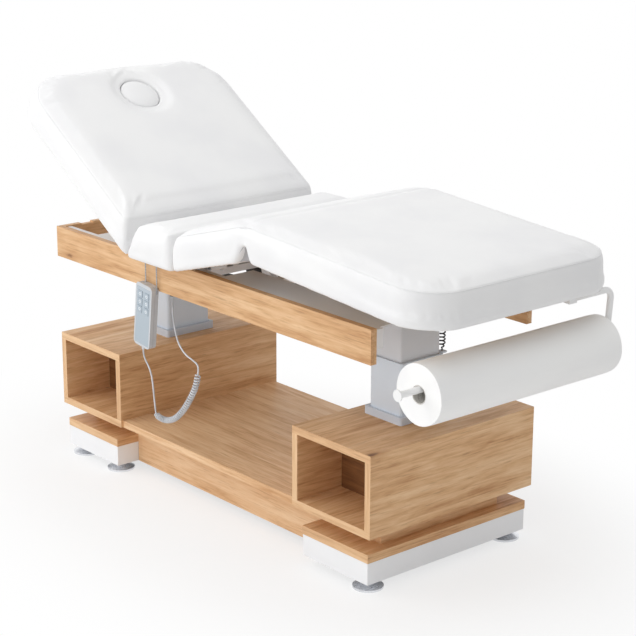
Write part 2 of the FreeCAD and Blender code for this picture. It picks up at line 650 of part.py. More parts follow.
# Pads: stacked rounded outlines, drawn in at the board and at the seam, then crowned
def pad_outline(low_x, high_x, half_width, low_radius, high_radius, height):
    """A rectangle with two corner radii, as one closed wire of lines and arcs."""
    corners = [(low_x, -half_width, low_radius, 1, 1), (high_x, -half_width, high_radius, -1, 1),
               (high_x, half_width, high_radius, -1, -1), (low_x, half_width, low_radius, 1, -1)]
    diagonal = 1 - math.sqrt(2) / 2
    arcs = []
    for index, (x, y, radius, way_x, way_y) in enumerate(corners):
        on_x = Vector(x + way_x * radius, y, height)
        on_y = Vector(x, y + way_y * radius, height)
        middle = Vector(x + way_x * radius * diagonal, y + way_y * radius * diagonal, height)
        first, last = (on_y, on_x) if index % 2 == 0 else (on_x, on_y)
        arcs.append(Part.Arc(first, middle, last).toShape())
    edges = []
    for index, arc in enumerate(arcs):
        after = arcs[(index + 1) % len(arcs)]
        edges.append(arc)
        edges.append(Part.LineSegment(arc.lastVertex().Point, after.firstVertex().Point).toShape())
    return Part.Wire(edges)


def between(profile, height):
    """Reads a place along an end face, given as pairs of height and place."""
    for (low, first), (high, last) in zip(profile, profile[1:]):
        if height <= high:
            return first + (last - first) * (height - low) / (high - low)
    return profile[-1][1]


# Share of the height, share of the boxing's draw and share of the crown's draw
BOXING_SHARES = [(0, 1, 0), (0.10, 0.28, 0), (0.30, 0.044, 0), (0.60, 0, 0), (0.88, 0.133, 0),
                 (1, 0.5, 0)]
CROWN_SHARES = [(0, 0.5, 0), (0.15, 0.444, 0), (0.36, 0.5, 0.037), (0.56, 0.5, 0.13),
                (0.75, 0.5, 0.29), (0.9, 0.5, 0.56), (1, 0.5, 1)]


def pad_solid(bottom, start, end, seam, crown, start_corner, end_corner, start_share=1,
              end_share=1):
    """A cushion from its side boxing and its crowned top, joined along the seam."""
    lofts = []
    for low, high, shares in ((0, seam, BOXING_SHARES), (seam, crown, CROWN_SHARES)):
        draws = [(low + share * (high - low), boxing * size.boxing_draw + crowned * size.crown_draw)
                 for share, boxing, crowned in shares]
        bends = [height for height, place in start + end if low < height < high]
        wires = []
        for height in sorted({height for height, draw in draws} | set(bends)):
            draw = between(draws, height)
            low_x = between(start, height) + draw * start_share
            high_x = between(end, height) - draw * end_share
            half = size.pad_half_width - draw
            spare = min(draw, size.small_corner / 2)
            wires.append(pad_outline(low_x, high_x, half, start_corner - spare, end_corner - spare,
                                     bottom + height))
        lofts.append(Part.makeLoft(wires, True, True))
    return lofts[0].fuse(lofts[1])


def board_recess(bottom, low_x, high_x, low_corner, high_corner, gap):
    """The space of a board, or with no gap the board itself, from a rounded outline."""
    inset = size.board_inset
    half = size.pad_half_width - inset + gap
    wire = pad_outline(low_x + inset - gap, high_x - inset + gap, half,
                       max(low_corner - inset, size.board_corner) + gap,
                       max(high_corner - inset, size.board_corner) + gap, bottom)
    return Part.Face(wire).extrude(Vector(0, 0, size.board_height + gap))


def knee_pocket(centre_x, centre_z):
    """Room in a pad for the knee hinge at the near and the far side."""
    pockets = []
    for side in (-1, 1):
        middle = side * (size.knee_arm_y + size.knee_arm_thickness + size.knee_arm_gap / 2)
        corner = Vector(centre_x - size.knee_pocket_x, middle - size.knee_pocket_half_width,
                        centre_z - size.knee_pocket_low)
        pockets.append(Part.makeBox(2 * size.knee_pocket_x, 2 * size.knee_pocket_half_width,
                                    size.knee_pocket_low + size.knee_pocket_high, corner))
    return pockets


def seat_section():
    low = size.pad_bottom
    start = [(0, size.seat_head_x), (size.seat_face_height, size.seat_head_x),
             (size.seam_height, size.seat_head_x + size.seat_chamfer),
             (size.crown_height, size.seat_head_x + size.seat_chamfer)]
    end = [(0, size.seat_foot_x), (size.crown_height, size.seat_foot_x - size.seat_foot_lean)]
    pad = pad_solid(low, start, end, size.seam_height, size.crown_height, size.small_corner,
                    size.small_corner, start_share=0.4, end_share=0.4)
    recess = board_recess(low, size.seat_head_x, size.seat_foot_x, 0, 0, size.board_gap)
    shifted("seat_cushion", solid_feature("seat_pad", pad.cut(recess)))
    board = board_recess(low, size.seat_head_x, size.seat_foot_x, 0, 0, 0)
    shifted("seat_board", solid_feature("seat_plank", board))


FLAT_BOTTOM = size.pad_bottom - size.hinge_z


def back_section():
    low = FLAT_BOTTOM
    start = [(0, -size.back_length), (size.back_crown_height, -size.back_length)]
    end = [(0, -size.back_start), (size.back_crown_height, -size.back_start - size.back_lean)]
    pad = pad_solid(low, start, end, size.back_seam_height, size.back_crown_height, size.head_corner,
                    size.small_corner, start_share=0.6, end_share=0.3)
    recess = board_recess(low, -size.back_length, -size.back_start, size.head_corner, 0,
                          size.board_gap)
    centre = Vector(-face_hole_x, 0, low)
    hole = Part.makeCylinder(size.face_hole_radius, size.back_crown_height, centre)
    at_pose("back_cushion", solid_feature("back_pad", pad.cut(recess).cut(hole)), BACK_POSE)
    board = board_recess(low, -size.back_length, -size.back_start, size.head_corner, 0, 0)
    hole = Part.makeCylinder(size.plug_hole_radius, size.board_height, centre)
    at_pose("back_board", solid_feature("back_plank", board.cut(hole)), BACK_POSE)
    profile = [
        ("0", "0"), ("plug_radius", "0"), ("plug_radius", "plug_height"),
        ("plug_radius - plug_dish", "plug_height + plug_crown"),
        ("plug_radius - 2 * plug_dish", "plug_height + plug_crown / 2"),
        ("plug_radius - 3 * plug_dish", "plug_height + plug_crown"),
        ("plug_radius / 2", "plug_height + 2 * plug_crown"), ("0", "plug_height + 2 * plug_crown"),
    ]
    plug = revolved_body("plug_body", profile)
    rise = "pad_bottom - hinge_z + board_height + board_gap"
    bind(plug, "Placement.Base.x", f"-({FACE_HOLE_X})")
    bind(plug, "Placement.Base.z", rise)
    at_pose("face_plug", plug, BACK_POSE)


def thigh_section():
    start = [(0, size.thigh_start), (size.crown_height, size.thigh_start + size.thigh_lean)]
    end = [(0, size.thigh_end_low), (size.notch_height, size.thigh_end_notch),
           (size.crown_height, size.thigh_end_high)]
    pad = pad_solid(FLAT_BOTTOM, start, end, size.seam_height, size.crown_height, size.small_corner,
                    size.small_corner, start_share=0.6, end_share=0.3)
    pad = pad.cut(board_recess(FLAT_BOTTOM, size.thigh_start, size.thigh_end_low, 0, 0,
                               size.board_gap))
    for pocket in knee_pocket(size.knee_x, size.knee_height):
        pad = pad.cut(pocket)
    for side in (-1, 1):
        pad = pad.cut(knee_arm_shape(side, size.knee_pocket_gap))
    at_pose("thigh_cushion", solid_feature("thigh_pad", pad), THIGH_POSE)
    board = board_recess(FLAT_BOTTOM, size.thigh_start, size.thigh_end_low, 0, 0, 0)
    at_pose("thigh_board", solid_feature("thigh_plank", board), THIGH_POSE)


def knee_arm_shape(side, gap):
    """The slanting arm from the thigh bar up to the knee pin, or its room when a gap is given."""
    half = size.knee_arm_half + gap
    low = Vector(size.knee_x - size.knee_arm_foot, 0, FLAT_BOTTOM - size.board_gap)
    high = Vector(size.knee_x, 0, size.knee_height)
    along = (high - low).normalize()
    aside = Vector(-along.z, 0, along.x) * half
    start_y = size.knee_arm_y - gap
    thickness = size.knee_arm_thickness + 2 * gap
    corner_y = start_y if side > 0 else -start_y - thickness
    corners = [low + aside, high + aside, high - aside, low - aside, low + aside]
    for corner in corners:
        corner.y = corner_y
    arm = Part.Face(Part.makePolygon(corners)).extrude(Vector(0, thickness, 0))
    end = Part.makeCylinder(half, thickness, Vector(high.x, corner_y, high.z), ACROSS)
    return arm.fuse(end)


def leg_section():
    bottom = FLAT_BOTTOM - size.knee_height
    start = [(0, size.leg_start_low), (size.notch_height, size.leg_start_notch),
             (size.crown_height, size.leg_start_high)]
    end = [(0, size.leg_length), (size.crown_height, size.leg_length)]
    pad = pad_solid(bottom, start, end, size.seam_height, size.crown_height, size.small_corner,
                    size.foot_corner, start_share=0.3)
    pad = pad.cut(board_recess(bottom, size.leg_start_low, size.leg_length, 0, size.foot_corner,
                               size.board_gap))
    for pocket in knee_pocket(0, 0):
        pad = pad.cut(pocket)
    at_pose("leg_cushion", solid_feature("leg_pad", pad), LEG_POSE)
    board = board_recess(bottom, size.leg_start_low, size.leg_length, 0, size.foot_corner, 0)
    at_pose("leg_board", solid_feature("leg_plank", board), LEG_POSE)


# Steel frames under the hinged sections
BAR = ("hinge_y - bar_width / 2", "hinge_y + bar_width / 2")
FLAT_Z = ("pad_bottom - hinge_z - board_gap - bar_thickness", "pad_bottom - hinge_z - board_gap")
LEG_Z = tuple(f"{text} - knee_height" for text in FLAT_Z)


def hinge_eyes(name):
    eyes, bores = [], []
    for span in (across(BAR), BAR):
        eyes.append(turned_pin(name + "_eye", "0", "0", span, "eye_radius"))
        bores.append(turned_pin(name + "_eye_bore", "0", "0", span, "pin_radius + pin_clearance"))
    return eyes, bores


def lever_fork(name, centre_y, x, z, root_first, root_last):
    corners = [(root_first, FLAT_Z[0]), (f"{x} - drive_plate_half", z),
               (f"{x} + drive_plate_half", z), (root_last, FLAT_Z[0])]
    return fork(name, centre_y, "drive_eye_half + fork_gap", "drive_plate", corners, x, z,
                "drive_plate_half", None)


def section_frames():
    eyes, bores = hinge_eyes("back")
    bars = mirrored_blocks("back_bar", ("-(back_length - frame_margin)", "0"), BAR, FLAT_Z)
    inside = ("-hinge_y", "hinge_y")
    cross = [
        block("back_cross_bar", ("-(back_length - frame_margin)",
              "-(back_length - frame_margin) + bar_width"), inside, FLAT_Z),
        block("back_cross_bar", ("-(back_length / 2) - bar_width / 2",
              "-(back_length / 2) + bar_width / 2"), inside, FLAT_Z),
        block("back_lever_bar", ("-back_start - 3 / 2 * bar_width", "-back_start - bar_width / 2"),
              inside, FLAT_Z),
    ]
    lever = lever_fork("back_lever", "drive_y", "back_lever_x", "back_lever_z",
                       "-back_start - 3 / 2 * bar_width", "-back_start - bar_width / 2")
    whole = joined("back_steel", bars + eyes + cross + lever)
    at_pose("back_frame", cut_from("back_steel_bored", whole, bores), BACK_POSE)

    eyes, bores = hinge_eyes("thigh")
    bars = mirrored_blocks("thigh_bar", ("0", "knee_x - knee_bar_clear"), BAR, FLAT_Z)
    cross = [
        block("thigh_lever_bar", ("thigh_lever_x - bar_width / 2", "thigh_lever_x + bar_width / 2"),
              inside, FLAT_Z),
        block("thigh_cross_bar", ("knee_x - knee_bar_clear - 3 * bar_width",
              "knee_x - knee_bar_clear - 2 * bar_width"), inside, FLAT_Z),
    ]
    lever = lever_fork("thigh_lever", "-drive_y", "thigh_lever_x", "thigh_lever_z",
                       "thigh_lever_x - bar_width / 2", "thigh_lever_x + bar_width / 2")
    arms = [solid_feature("knee_arm", knee_arm_shape(side, 0)) for side in (-1, 1)]
    reach = ("knee_arm_y - pin_overhang", "knee_arm_y + 2 * knee_arm_thickness + knee_arm_gap"
             " + pin_overhang")
    pins = [turned_pin("knee_pin", "knee_x", "knee_height", span, "pin_radius")
            for span in (across(reach), reach)]
    whole = joined("thigh_steel", bars + eyes + cross + lever + arms + pins)
    at_pose("thigh_frame", cut_from("thigh_steel_bored", whole, bores), THIGH_POSE)

    bars = mirrored_blocks("leg_bar", ("leg_bar_start", "leg_length - leg_bar_margin"), BAR, LEG_Z)
    cross = [
        block("leg_link_bar", ("link_far_x - bar_width / 2", "link_far_x + bar_width / 2"), inside,
              LEG_Z),
        block("leg_cross_bar", (f"{ROLL_ROD_X} - 3 / 2 * bar_width", f"{ROLL_ROD_X} - bar_width / 2"),
              inside, LEG_Z),
    ]
    arm_y = ("knee_arm_y + knee_arm_thickness + knee_arm_gap",
             "knee_arm_y + 2 * knee_arm_thickness + knee_arm_gap")
    arms = mirrored_blocks("leg_arm", ("-knee_arm_half", "knee_arm_half"), arm_y, (LEG_Z[0], "0"))
    ends, bores = [], []
    for span in (across(arm_y), arm_y):
        ends.append(turned_pin("leg_arm_end", "0", "0", span, "knee_arm_half"))
        bores.append(turned_pin("leg_arm_bore", "0", "0", span, "pin_radius + pin_clearance"))
    forks = []
    corners = [("link_far_x - bar_width / 2", LEG_Z[1]), ("link_far_x - eye_radius", "link_far_z"),
               ("link_far_x + eye_radius", "link_far_z"), ("link_far_x + bar_width / 2", LEG_Z[1])]
    for centre in ("-link_y", "link_y"):
        forks += fork("leg_fork", centre, "link_thickness / 2 + fork_gap", "fork_plate", corners,
                      "link_far_x", "link_far_z", "eye_radius", None)
    whole = joined("leg_steel", bars + cross + arms + ends + forks)
    at_pose("leg_frame", cut_from("leg_steel_bored", whole, bores), LEG_POSE)


def leg_links():
    """Two arms that hold the foot section level as the thigh section moves."""
    arms = []
    for centre in ("-link_y", "link_y"):
        span = (f"{centre} - link_thickness / 2", f"{centre} + link_thickness / 2")
        bar = block("link_bar", ("0", "link_length"), span, ("-link_half_height", "link_half_height"))
        ends = [turned_pin("link_end", x, "0", span, "eye_radius") for x in ("0", "link_length")]
        bore = turned_pin("link_bore", "0", "0", span, "pin_radius + pin_clearance")
        arms.append(cut_from("link_arm", joined("link_solid", [bar] + ends), [bore]))
    pose = Placement(SHIFT + Vector(size.link_x, 0, size.link_z),
                     Rotation(ACROSS, -size.link_angle))
    at_pose("leg_link", grouped("link_arms", arms), pose)


# Linear actuators, each a hinged housing with a sliding rod
def actuator(name, rear, lever_pose, lever, centre_y, length):
    far = lever_pose.multVec(lever)
    along = far - rear
    along.y = 0
    reach = along.Length
    angle = math.degrees(math.atan2(-along.z, along.x))
    pose = Placement(rear + Vector(0, centre_y, 0) + SHIFT, Rotation(ACROSS, angle))
    eye_span = ("-drive_eye_half", "drive_eye_half")
    eye = turned_pin(name + "_eye", "0", "0", eye_span, "drive_eye_radius")
    neck = lengthwise_rod(name + "_neck", ("0", "housing_start + drive_plate"), "0", "0",
                          "rod_radius")
    tube = lengthwise_rod(name + "_tube", ("housing_start", length), "0", "0", "housing_radius")
    motor = lengthwise_rod(name + "_motor", ("housing_start + drive_plate",
                           "housing_start + motor_length"), "0", "-motor_drop", "motor_radius")
    solid = joined(name + "_solid", [eye, neck, tube, motor])
    bore = lengthwise_rod(name + "_bore", ("housing_wall_end", length), "0", "0",
                          "rod_radius + rod_bore_gap")
    hole = turned_pin(name + "_hole", "0", "0", eye_span, "drive_pin_radius + pin_clearance")
    at_pose(name + "_actuator_housing", cut_from(name + "_bored", solid, [bore, hole]), pose)
    rod_length = reach - getattr(size, length) + size.rod_inside
    rod = Part.makeCylinder(size.rod_radius, rod_length, LENGTHWAYS * (reach - rod_length), LENGTHWAYS)
    rod_eye = Part.makeCylinder(size.drive_eye_radius, 2 * size.drive_eye_half,
                                Vector(reach, -size.drive_eye_half, 0), ACROSS)
    rod = solid_feature(name + "_rod", rod)
    head = solid_feature(name + "_rod_eye", rod_eye)
    at_pose(name + "_actuator_rod", joined(name + "_rod_solid", [rod, head]), pose)
    print(name, "actuator pivot distance", round(reach, 1), "angle", round(angle, 2))


def actuators():
    back_rear = Vector(size.back_drive_x, 0, size.back_drive_z)
    thigh_rear = Vector(size.thigh_drive_x, 0, size.thigh_drive_z)
    actuator("back", back_rear, Placement(BACK_HINGE, BACK_TURN),
             Vector(size.back_lever_x, 0, size.back_lever_z), size.drive_y, "back_housing_length")
    actuator("leg", thigh_rear, Placement(THIGH_HINGE, THIGH_TURN),
             Vector(size.thigh_lever_x, 0, size.thigh_lever_z), -size.drive_y,
             "thigh_housing_length")


def control_box():
    body = padded_body("box_body", ("box_head_x", "box_foot_x"), ("box_near_y", "box_far_y"),
                       "box_top - box_bottom", "box_corner")
    bind(body, "Placement.Base.z", "box_bottom")
    socket = upright_pin("box_socket", "socket_x", "socket_y", ("box_bottom - socket_length",
                         "box_bottom"), "socket_radius")
    inlet = block("box_inlet", ("inlet_x - inlet_half_length", "inlet_x + inlet_half_length"),
                  ("inlet_y - inlet_half_width", "inlet_y + inlet_half_width"),
                  ("box_bottom", "box_bottom + inlet_depth"))
    shifted("control_box", cut_from("box_cut", joined("box_solid", [body, socket]), [inlet]))


# Paper roll on a bent rod under the foot section
def roll_holder():
    rod_y, far_y = size.roll_rod_near_y, size.holder_far_y
    x, low = roll_rod_x, size.roll_rod_z
    under = FLAT_BOTTOM - size.knee_height - size.board_gap - size.bar_thickness
    high = under - size.holder_gap - size.roll_rod_radius
    bend = size.holder_bend
    turn = bend * (1 - math.sqrt(2) / 2)
    start = Vector(x, rod_y, low)
    first = Part.Arc(Vector(x, far_y - bend, low), Vector(x, far_y - turn, low + turn),
                     Vector(x, far_y, low + bend))
    second = Part.Arc(Vector(x, far_y, high - bend), Vector(x, far_y - turn, high - turn),
                      Vector(x, far_y - bend, high))
    end = Vector(x, size.holder_inner_y, high)
    edges = [Part.LineSegment(start, first.StartPoint).toShape(), first.toShape(),
             Part.LineSegment(first.EndPoint, second.StartPoint).toShape(), second.toShape(),
             Part.LineSegment(second.EndPoint, end).toShape()]
    path = Part.Wire(edges)
    ring = Part.Wire(Part.Circle(start, ACROSS, size.roll_rod_radius).toShape())
    tube = path.makePipeShell([ring], True, False)
    disc = Part.makeCylinder(size.roll_disc_radius, size.roll_disc_thickness,
                             start - ACROSS * size.roll_disc_thickness, ACROSS)
    clamp_low = high - size.clamp_height
    clamp = Part.makeBox(2 * size.clamp_half, 2 * size.clamp_half,
                         under - size.holder_gap - clamp_low,
                         Vector(x - size.clamp_half, size.holder_inner_y - size.clamp_half / 2,
                                clamp_low))
    at_pose("roll_holder", solid_feature("holder_tube", tube.fuse([disc, clamp])), LEG_POSE)


def paper_roll():
    rod = Placement(KNEE, LEG_TURN).multVec(Vector(roll_rod_x, 0, size.roll_rod_z))
    drop = size.core_bore_radius - size.roll_rod_radius - size.holder_gap
    near = size.paper_near_y
    length = size.paper_far_y - near
    centre = Vector(rod.x, near, rod.z - drop)
    outer = size.core_bore_radius + size.core_wall
    core = Part.makeCylinder(outer, length, Vector(), ACROSS)
    core = core.cut(Part.makeCylinder(size.core_bore_radius, length, Vector(), ACROSS))
    paper = Part.makeCylinder(size.paper_radius, length, Vector(), ACROSS)
    paper = paper.cut(Part.makeCylinder(outer, length, Vector(), ACROSS))
    pose = Placement(SHIFT + centre, Rotation())
    at_pose("roll_core", solid_feature("core_tube", core), pose)
    at_pose("paper_roll", solid_feature("paper_tube", paper), pose)
    print("roll axis", round(centre.x, 1), round(centre.z, 1))


# Handset: its local origin is the middle of the front face, Y into the case
HANDSET_POSE = Placement(SHIFT + Vector(size.handset_x, size.handset_near_y, size.handset_z),
                         Rotation(ACROSS, size.handset_tilt))


def handset():
    half_x, half_z = "handset_width / 2", "handset_height / 2"
    case = block("case_block", ("-" + half_x, half_x), ("0", "handset_depth"),
                 ("-" + half_z, half_z))
    case = rounded("case_corners", case, size.handset_corner, ACROSS)
    tools = []
    buttons = []
    number = 0
    for row in range(3):
        for column in (-1, 1):
            number += 1
            x = f"{column} * button_pitch_x / 2"
            z = f"button_top_z - {row} * button_pitch_z"

            def around(centre, reach):
                return (f"{centre} - ({reach})", f"{centre} + ({reach})")

            tools.append(block("button_well", around(x, "button_width / 2 + button_gap"),
                               ("0", "button_depth"),
                               around(z, "button_height / 2 + button_gap")))
            button = block("button_block", around(x, "button_width / 2"),
                           ("-button_proud", "button_depth - button_proud - button_gap"),
                           around(z, "button_height / 2"))
            buttons.append((number, rounded("button_round", button, size.button_corner, ACROSS)))
    relief = upright_pin("relief", "relief_offset", "handset_depth / 2",
                         (f"-({half_z}) - relief_length", f"-({half_z})"), "relief_radius")
    case = cut_from("case_welled", case, tools)
    wire_holes = []
    for x in (size.wire_near_x, size.wire_near_x + size.wire_pitch):
        reach = size.wire_radius + size.wire_gap
        foot = SHIFT + Vector(x, size.wire_y, wire_bottom())
        hole = Part.makeCylinder(reach, size.handset_height, foot)
        hole.transformShape(HANDSET_POSE.inverse().toMatrix())
        wire_holes.append(solid_feature("wire_hole", hole))
    case = cut_from("case_holed", case, wire_holes)
    at_pose("handset_case", case, HANDSET_POSE)
    at_pose("cord_relief", relief, HANDSET_POSE)
    for number, button in buttons:
        at_pose(f"button_{number}", button, HANDSET_POSE)


def wire_bottom():
    top = size.handset_z + size.handset_height / 2 * math.cos(math.radians(size.handset_tilt))
    return top - size.handset_width / 2 * math.sin(math.radians(size.handset_tilt)) - size.wire_inside


def handset_hanger():
    """Two wires from the top of the rail down into the back of the handset."""
    wires = []
    for x in (size.wire_near_x, size.wire_near_x + size.wire_pitch):
        high = size.rail_top - size.wire_radius
        low = Vector(x, size.wire_y, wire_bottom() + size.wire_gap)
        bend = size.wire_bend
        turn = bend * (1 - math.sqrt(2) / 2)
        arc = Part.Arc(Vector(x, size.wire_y, high - bend),
                       Vector(x, size.wire_y + turn, high - turn),
                       Vector(x, size.wire_y + bend, high))
        end = Vector(x, -size.rail_outer_y + size.wire_rail_inside, high)
        path = Part.Wire([Part.LineSegment(low, arc.StartPoint).toShape(), arc.toShape(),
                          Part.LineSegment(arc.EndPoint, end).toShape()])
        ring = Part.Wire(Part.Circle(low, UP, size.wire_radius).toShape())
        wires.append(solid_feature("hanger_wire", path.makePipeShell([ring], True, False)))
    shifted("handset_hanger", grouped("hanger_wires", wires))


# Handset cord: routes set by hand, rounded where the straight runs meet
ROUTE_ROUND_SHARE = 0.45
CORD_END = Vector(size.socket_x, size.socket_y, size.box_bottom - size.socket_length)
RELIEF_TIP = HANDSET_POSE.multVec(Vector(size.relief_offset, size.handset_depth / 2,
                                         -size.handset_height / 2 - size.relief_length)) - SHIFT
RELIEF_AXIS = HANDSET_POSE.Rotation.multVec(-UP)
CURL_START = Vector(-218.5, -320, 275)
CURL_START_RUN = Vector(1, 0.2, -8)
CURL_END = Vector(-22, -305, 444)
CURL_END_RUN = Vector(1, 0.7, 10)
LEAD_ROUTE = [RELIEF_TIP, RELIEF_TIP + RELIEF_AXIS * size.lead_run, Vector(-235.5, -322, 399),
              Vector(-225, -322.5, 351), CURL_START - CURL_START_RUN * 4, CURL_START]
CURL_ROUTE = [CURL_START, CURL_START + CURL_START_RUN * 1.6, Vector(-174, -319.5, 257),
              Vector(-126, -319, 272), Vector(-80, -317.5, 313), Vector(-46, -313, 364),
              CURL_END - CURL_END_RUN * 3.6, CURL_END]
TAIL_ROUTE = [CURL_END, CURL_END + CURL_END_RUN * 2, Vector(-49, -301, 472),
              Vector(-97, -295, 477), Vector(-141, -288, 500), Vector(-173, -277, 537),
              Vector(-196, -266, 577), Vector(size.socket_x, size.socket_y, 606), CORD_END]


def tangent_arc(start, corner, last):
    """The arc that leaves the first run and joins the next, both runs being as long."""
    into, away = (corner - start), (last - corner)
    turn = into.getAngle(away)
    if turn < FINE:
        return Part.LineSegment(start, last).toShape()
    back = into.Length
    inner = (away.normalize() - into.normalize()).normalize()
    radius = back / math.tan(turn / 2)
    middle = corner + inner * (radius / math.cos(turn / 2) - radius)
    return Part.Arc(start, middle, last).toShape()


def rounded_route(points):
    """Straight runs joined by tangent arcs."""
    edges = []
    start = points[0]
    for before, corner, after in zip(points, points[1:], points[2:]):
        into, away = corner - before, after - corner
        back = ROUTE_ROUND_SHARE * min(into.Length, away.Length)
        first = corner - into.normalize() * back
        last = corner + away.normalize() * back
        edges.append(Part.LineSegment(start, first).toShape())
        edges.append(tangent_arc(first, corner, last))
        start = last
    edges.append(Part.LineSegment(start, points[-1]).toShape())
    return Part.Wire(edges)


def tube_on(path, start, along, radius):
    ring = Part.Wire(Part.Circle(start, along, radius).toShape())
    return path.makePipeShell([ring], True, False)


def biarc(start, leave, end, arrive):
    """Two arcs from one point and direction to another."""
    gap = end - start
    both = leave + arrive
    spread = 2 * (1 - leave.dot(arrive))
    reach = gap.dot(both)
    if spread < FINE:
        run = gap.dot(gap) / (2 * reach)
    else:
        run = (math.sqrt(reach * reach + spread * gap.dot(gap)) - reach) / spread
    first, last = start + leave * run, end - arrive * run
    middle = (first + last) * 0.5
    return [tangent_arc(start, first, middle), tangent_arc(middle, last, end)]


ROUTE_SAMPLES = 3000
HALF_TURN_SAMPLES = 8
RAMP_TURNS = 1.5
NEIGHBOUR_TURNS = 2.5


def curled_path(route, turns, coil_radius, wire_radius, steady):
    """The middle line of a curly cord: curls round a route, straight for a diameter at its ends."""
    line = route.discretize(Number=ROUTE_SAMPLES)
    skip = math.ceil(2 * wire_radius / (route.Length / (ROUTE_SAMPLES - 1)))
    count = int(2 * turns) * HALF_TURN_SAMPLES + 1
    points = []
    for index in range(count):
        share = index / (count - 1)
        place = skip + share * (ROUTE_SAMPLES - 1 - 2 * skip)
        low = min(int(place), ROUTE_SAMPLES - 2)
        along = (line[low + 1] - line[low]).normalize()
        centre = line[low] + (line[low + 1] - line[low]) * (place - low)
        out = (steady - along * steady.dot(along)).normalize()
        aside = along.cross(out)
        ramp = min(1, share * turns / RAMP_TURNS, (1 - share) * turns / RAMP_TURNS)
        ramp = ramp * ramp * (3 - 2 * ramp)
        angle = 2 * math.pi * turns * share
        points.append(centre + (out * math.cos(angle) + aside * math.sin(angle)) * coil_radius * ramp)
    knots = []
    for index in range(0, count, HALF_TURN_SAMPLES):
        if index == 0:
            leave = line[skip] - line[0]
        elif index == count - 1:
            leave = line[-1] - line[-1 - skip]
        else:
            leave = points[index + 1] - points[index - 1]
        knots.append((points[index], leave.normalize()))
    edges = [Part.LineSegment(line[0], points[0]).toShape()]
    for (start, leave), (end, arrive) in zip(knots, knots[1:]):
        edges += biarc(start, leave, end, arrive)
    edges.append(Part.LineSegment(points[-1], line[-1]).toShape())
    return Part.Wire(edges)


def least_gap(path, wire_radius, pitch):
    """The least room between stretches of a coil that lie more than a quarter turn apart."""
    step = wire_radius / 2
    points = path.discretize(Number=int(path.Length / step))
    skip = int(3 * wire_radius * math.pi / step)
    least = path.Length
    window = int(pitch / step)
    for index, first in enumerate(points):
        for second in points[index + skip:index + window]:
            least = min(least, first.distanceToPoint(second))
    return least - 2 * wire_radius


def curled_cord(name, route_points, turns, outer_radius, wire_radius, steady):
    route = rounded_route(route_points) if len(route_points) > 2 else Part.Wire(
        Part.LineSegment(*route_points).toShape())
    path = curled_path(route, turns, outer_radius - wire_radius, wire_radius, steady)
    turn_length = path.Length / turns
    along = (route_points[1] - route_points[0]).normalize()
    shape = tube_on(path, route_points[0], along, wire_radius)
    room = least_gap(path, wire_radius, NEIGHBOUR_TURNS * turn_length)
    print(name, "turns", turns, "route", round(route.Length, 1), "wire", round(path.Length, 1),
          "mm, least gap to itself", round(room, 2), "mm")
    return shape


def handset_cord():
    for name, route in (("handset_cord_lead", LEAD_ROUTE), ("handset_cord_tail", TAIL_ROUTE)):
        along = (route[1] - route[0]).normalize()
        tube = tube_on(rounded_route(route), route[0], along, size.cord_radius)
        shifted(name, solid_feature(name + "_tube", tube))
        print(name, "runs", round(rounded_route(route).Length, 1), "mm")
    curls = curled_cord("handset_cord_curls", CURL_ROUTE, int(size.curl_count),
                        size.curl_outer_radius, size.cord_radius, ACROSS)
    shifted("handset_cord_curls", solid_feature("curls_tube", curls))


def column_cable():
    """The dark spiral cable between the clip on the foot column and the beam above."""
    low = Vector(size.cable_x, size.cable_y, size.outer_tube_top)
    high = Vector(size.cable_x, size.cable_y, size.frame_bottom)
    coil = curled_cord("column_cable", [low, high], int(size.cable_turns), size.cable_outer_radius,
                       size.cable_radius, ACROSS)
    shifted("column_cable", solid_feature("cable_coil", coil))


risers_and_plinths()
levelling_feet()
cabinet("head", "-(bay_half_length + cabinet_length)", "-bay_half_length")
cabinet("foot", "bay_half_length", "bay_half_length + cabinet_length")
deck_and_aprons()
columns()
rails()
lift_frame()
hinge_pins()
seat_section()
back_section()
thigh_section()
leg_section()
section_frames()
leg_links()
actuators()
control_box()
roll_holder()
paper_roll()
handset()
handset_hanger()
handset_cord()
column_cable()
doc.recompute()

for thing in doc.Objects:
    if "Invalid" in thing.State or "Error" in thing.State:
        raise RuntimeError(f"{thing.Label} did not build: {thing.State}")
whole = None
for node in nodes:
    shape = node.Shape
    if shape.isNull() or not shape.isValid() or not shape.Solids:
        raise RuntimeError(f"{node.Label} has no sound solid")
    shape.exportStep(f"parts/{node.Label}.step")
    if "cord" not in node.Label:
        box = shape.optimalBoundingBox(False)
        whole = box if whole is None else whole.united(box)
print(len(nodes), "nodes; outline without the cord",
      [round(value, 2) for value in (whole.XMin, whole.XMax, whole.YMin, whole.YMax, whole.ZMin,
                                     whole.ZMax)])
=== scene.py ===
import math

import bmesh
import bpy
import numpy as np
from mathutils import Matrix, Vector
from mathutils.kdtree import KDTree


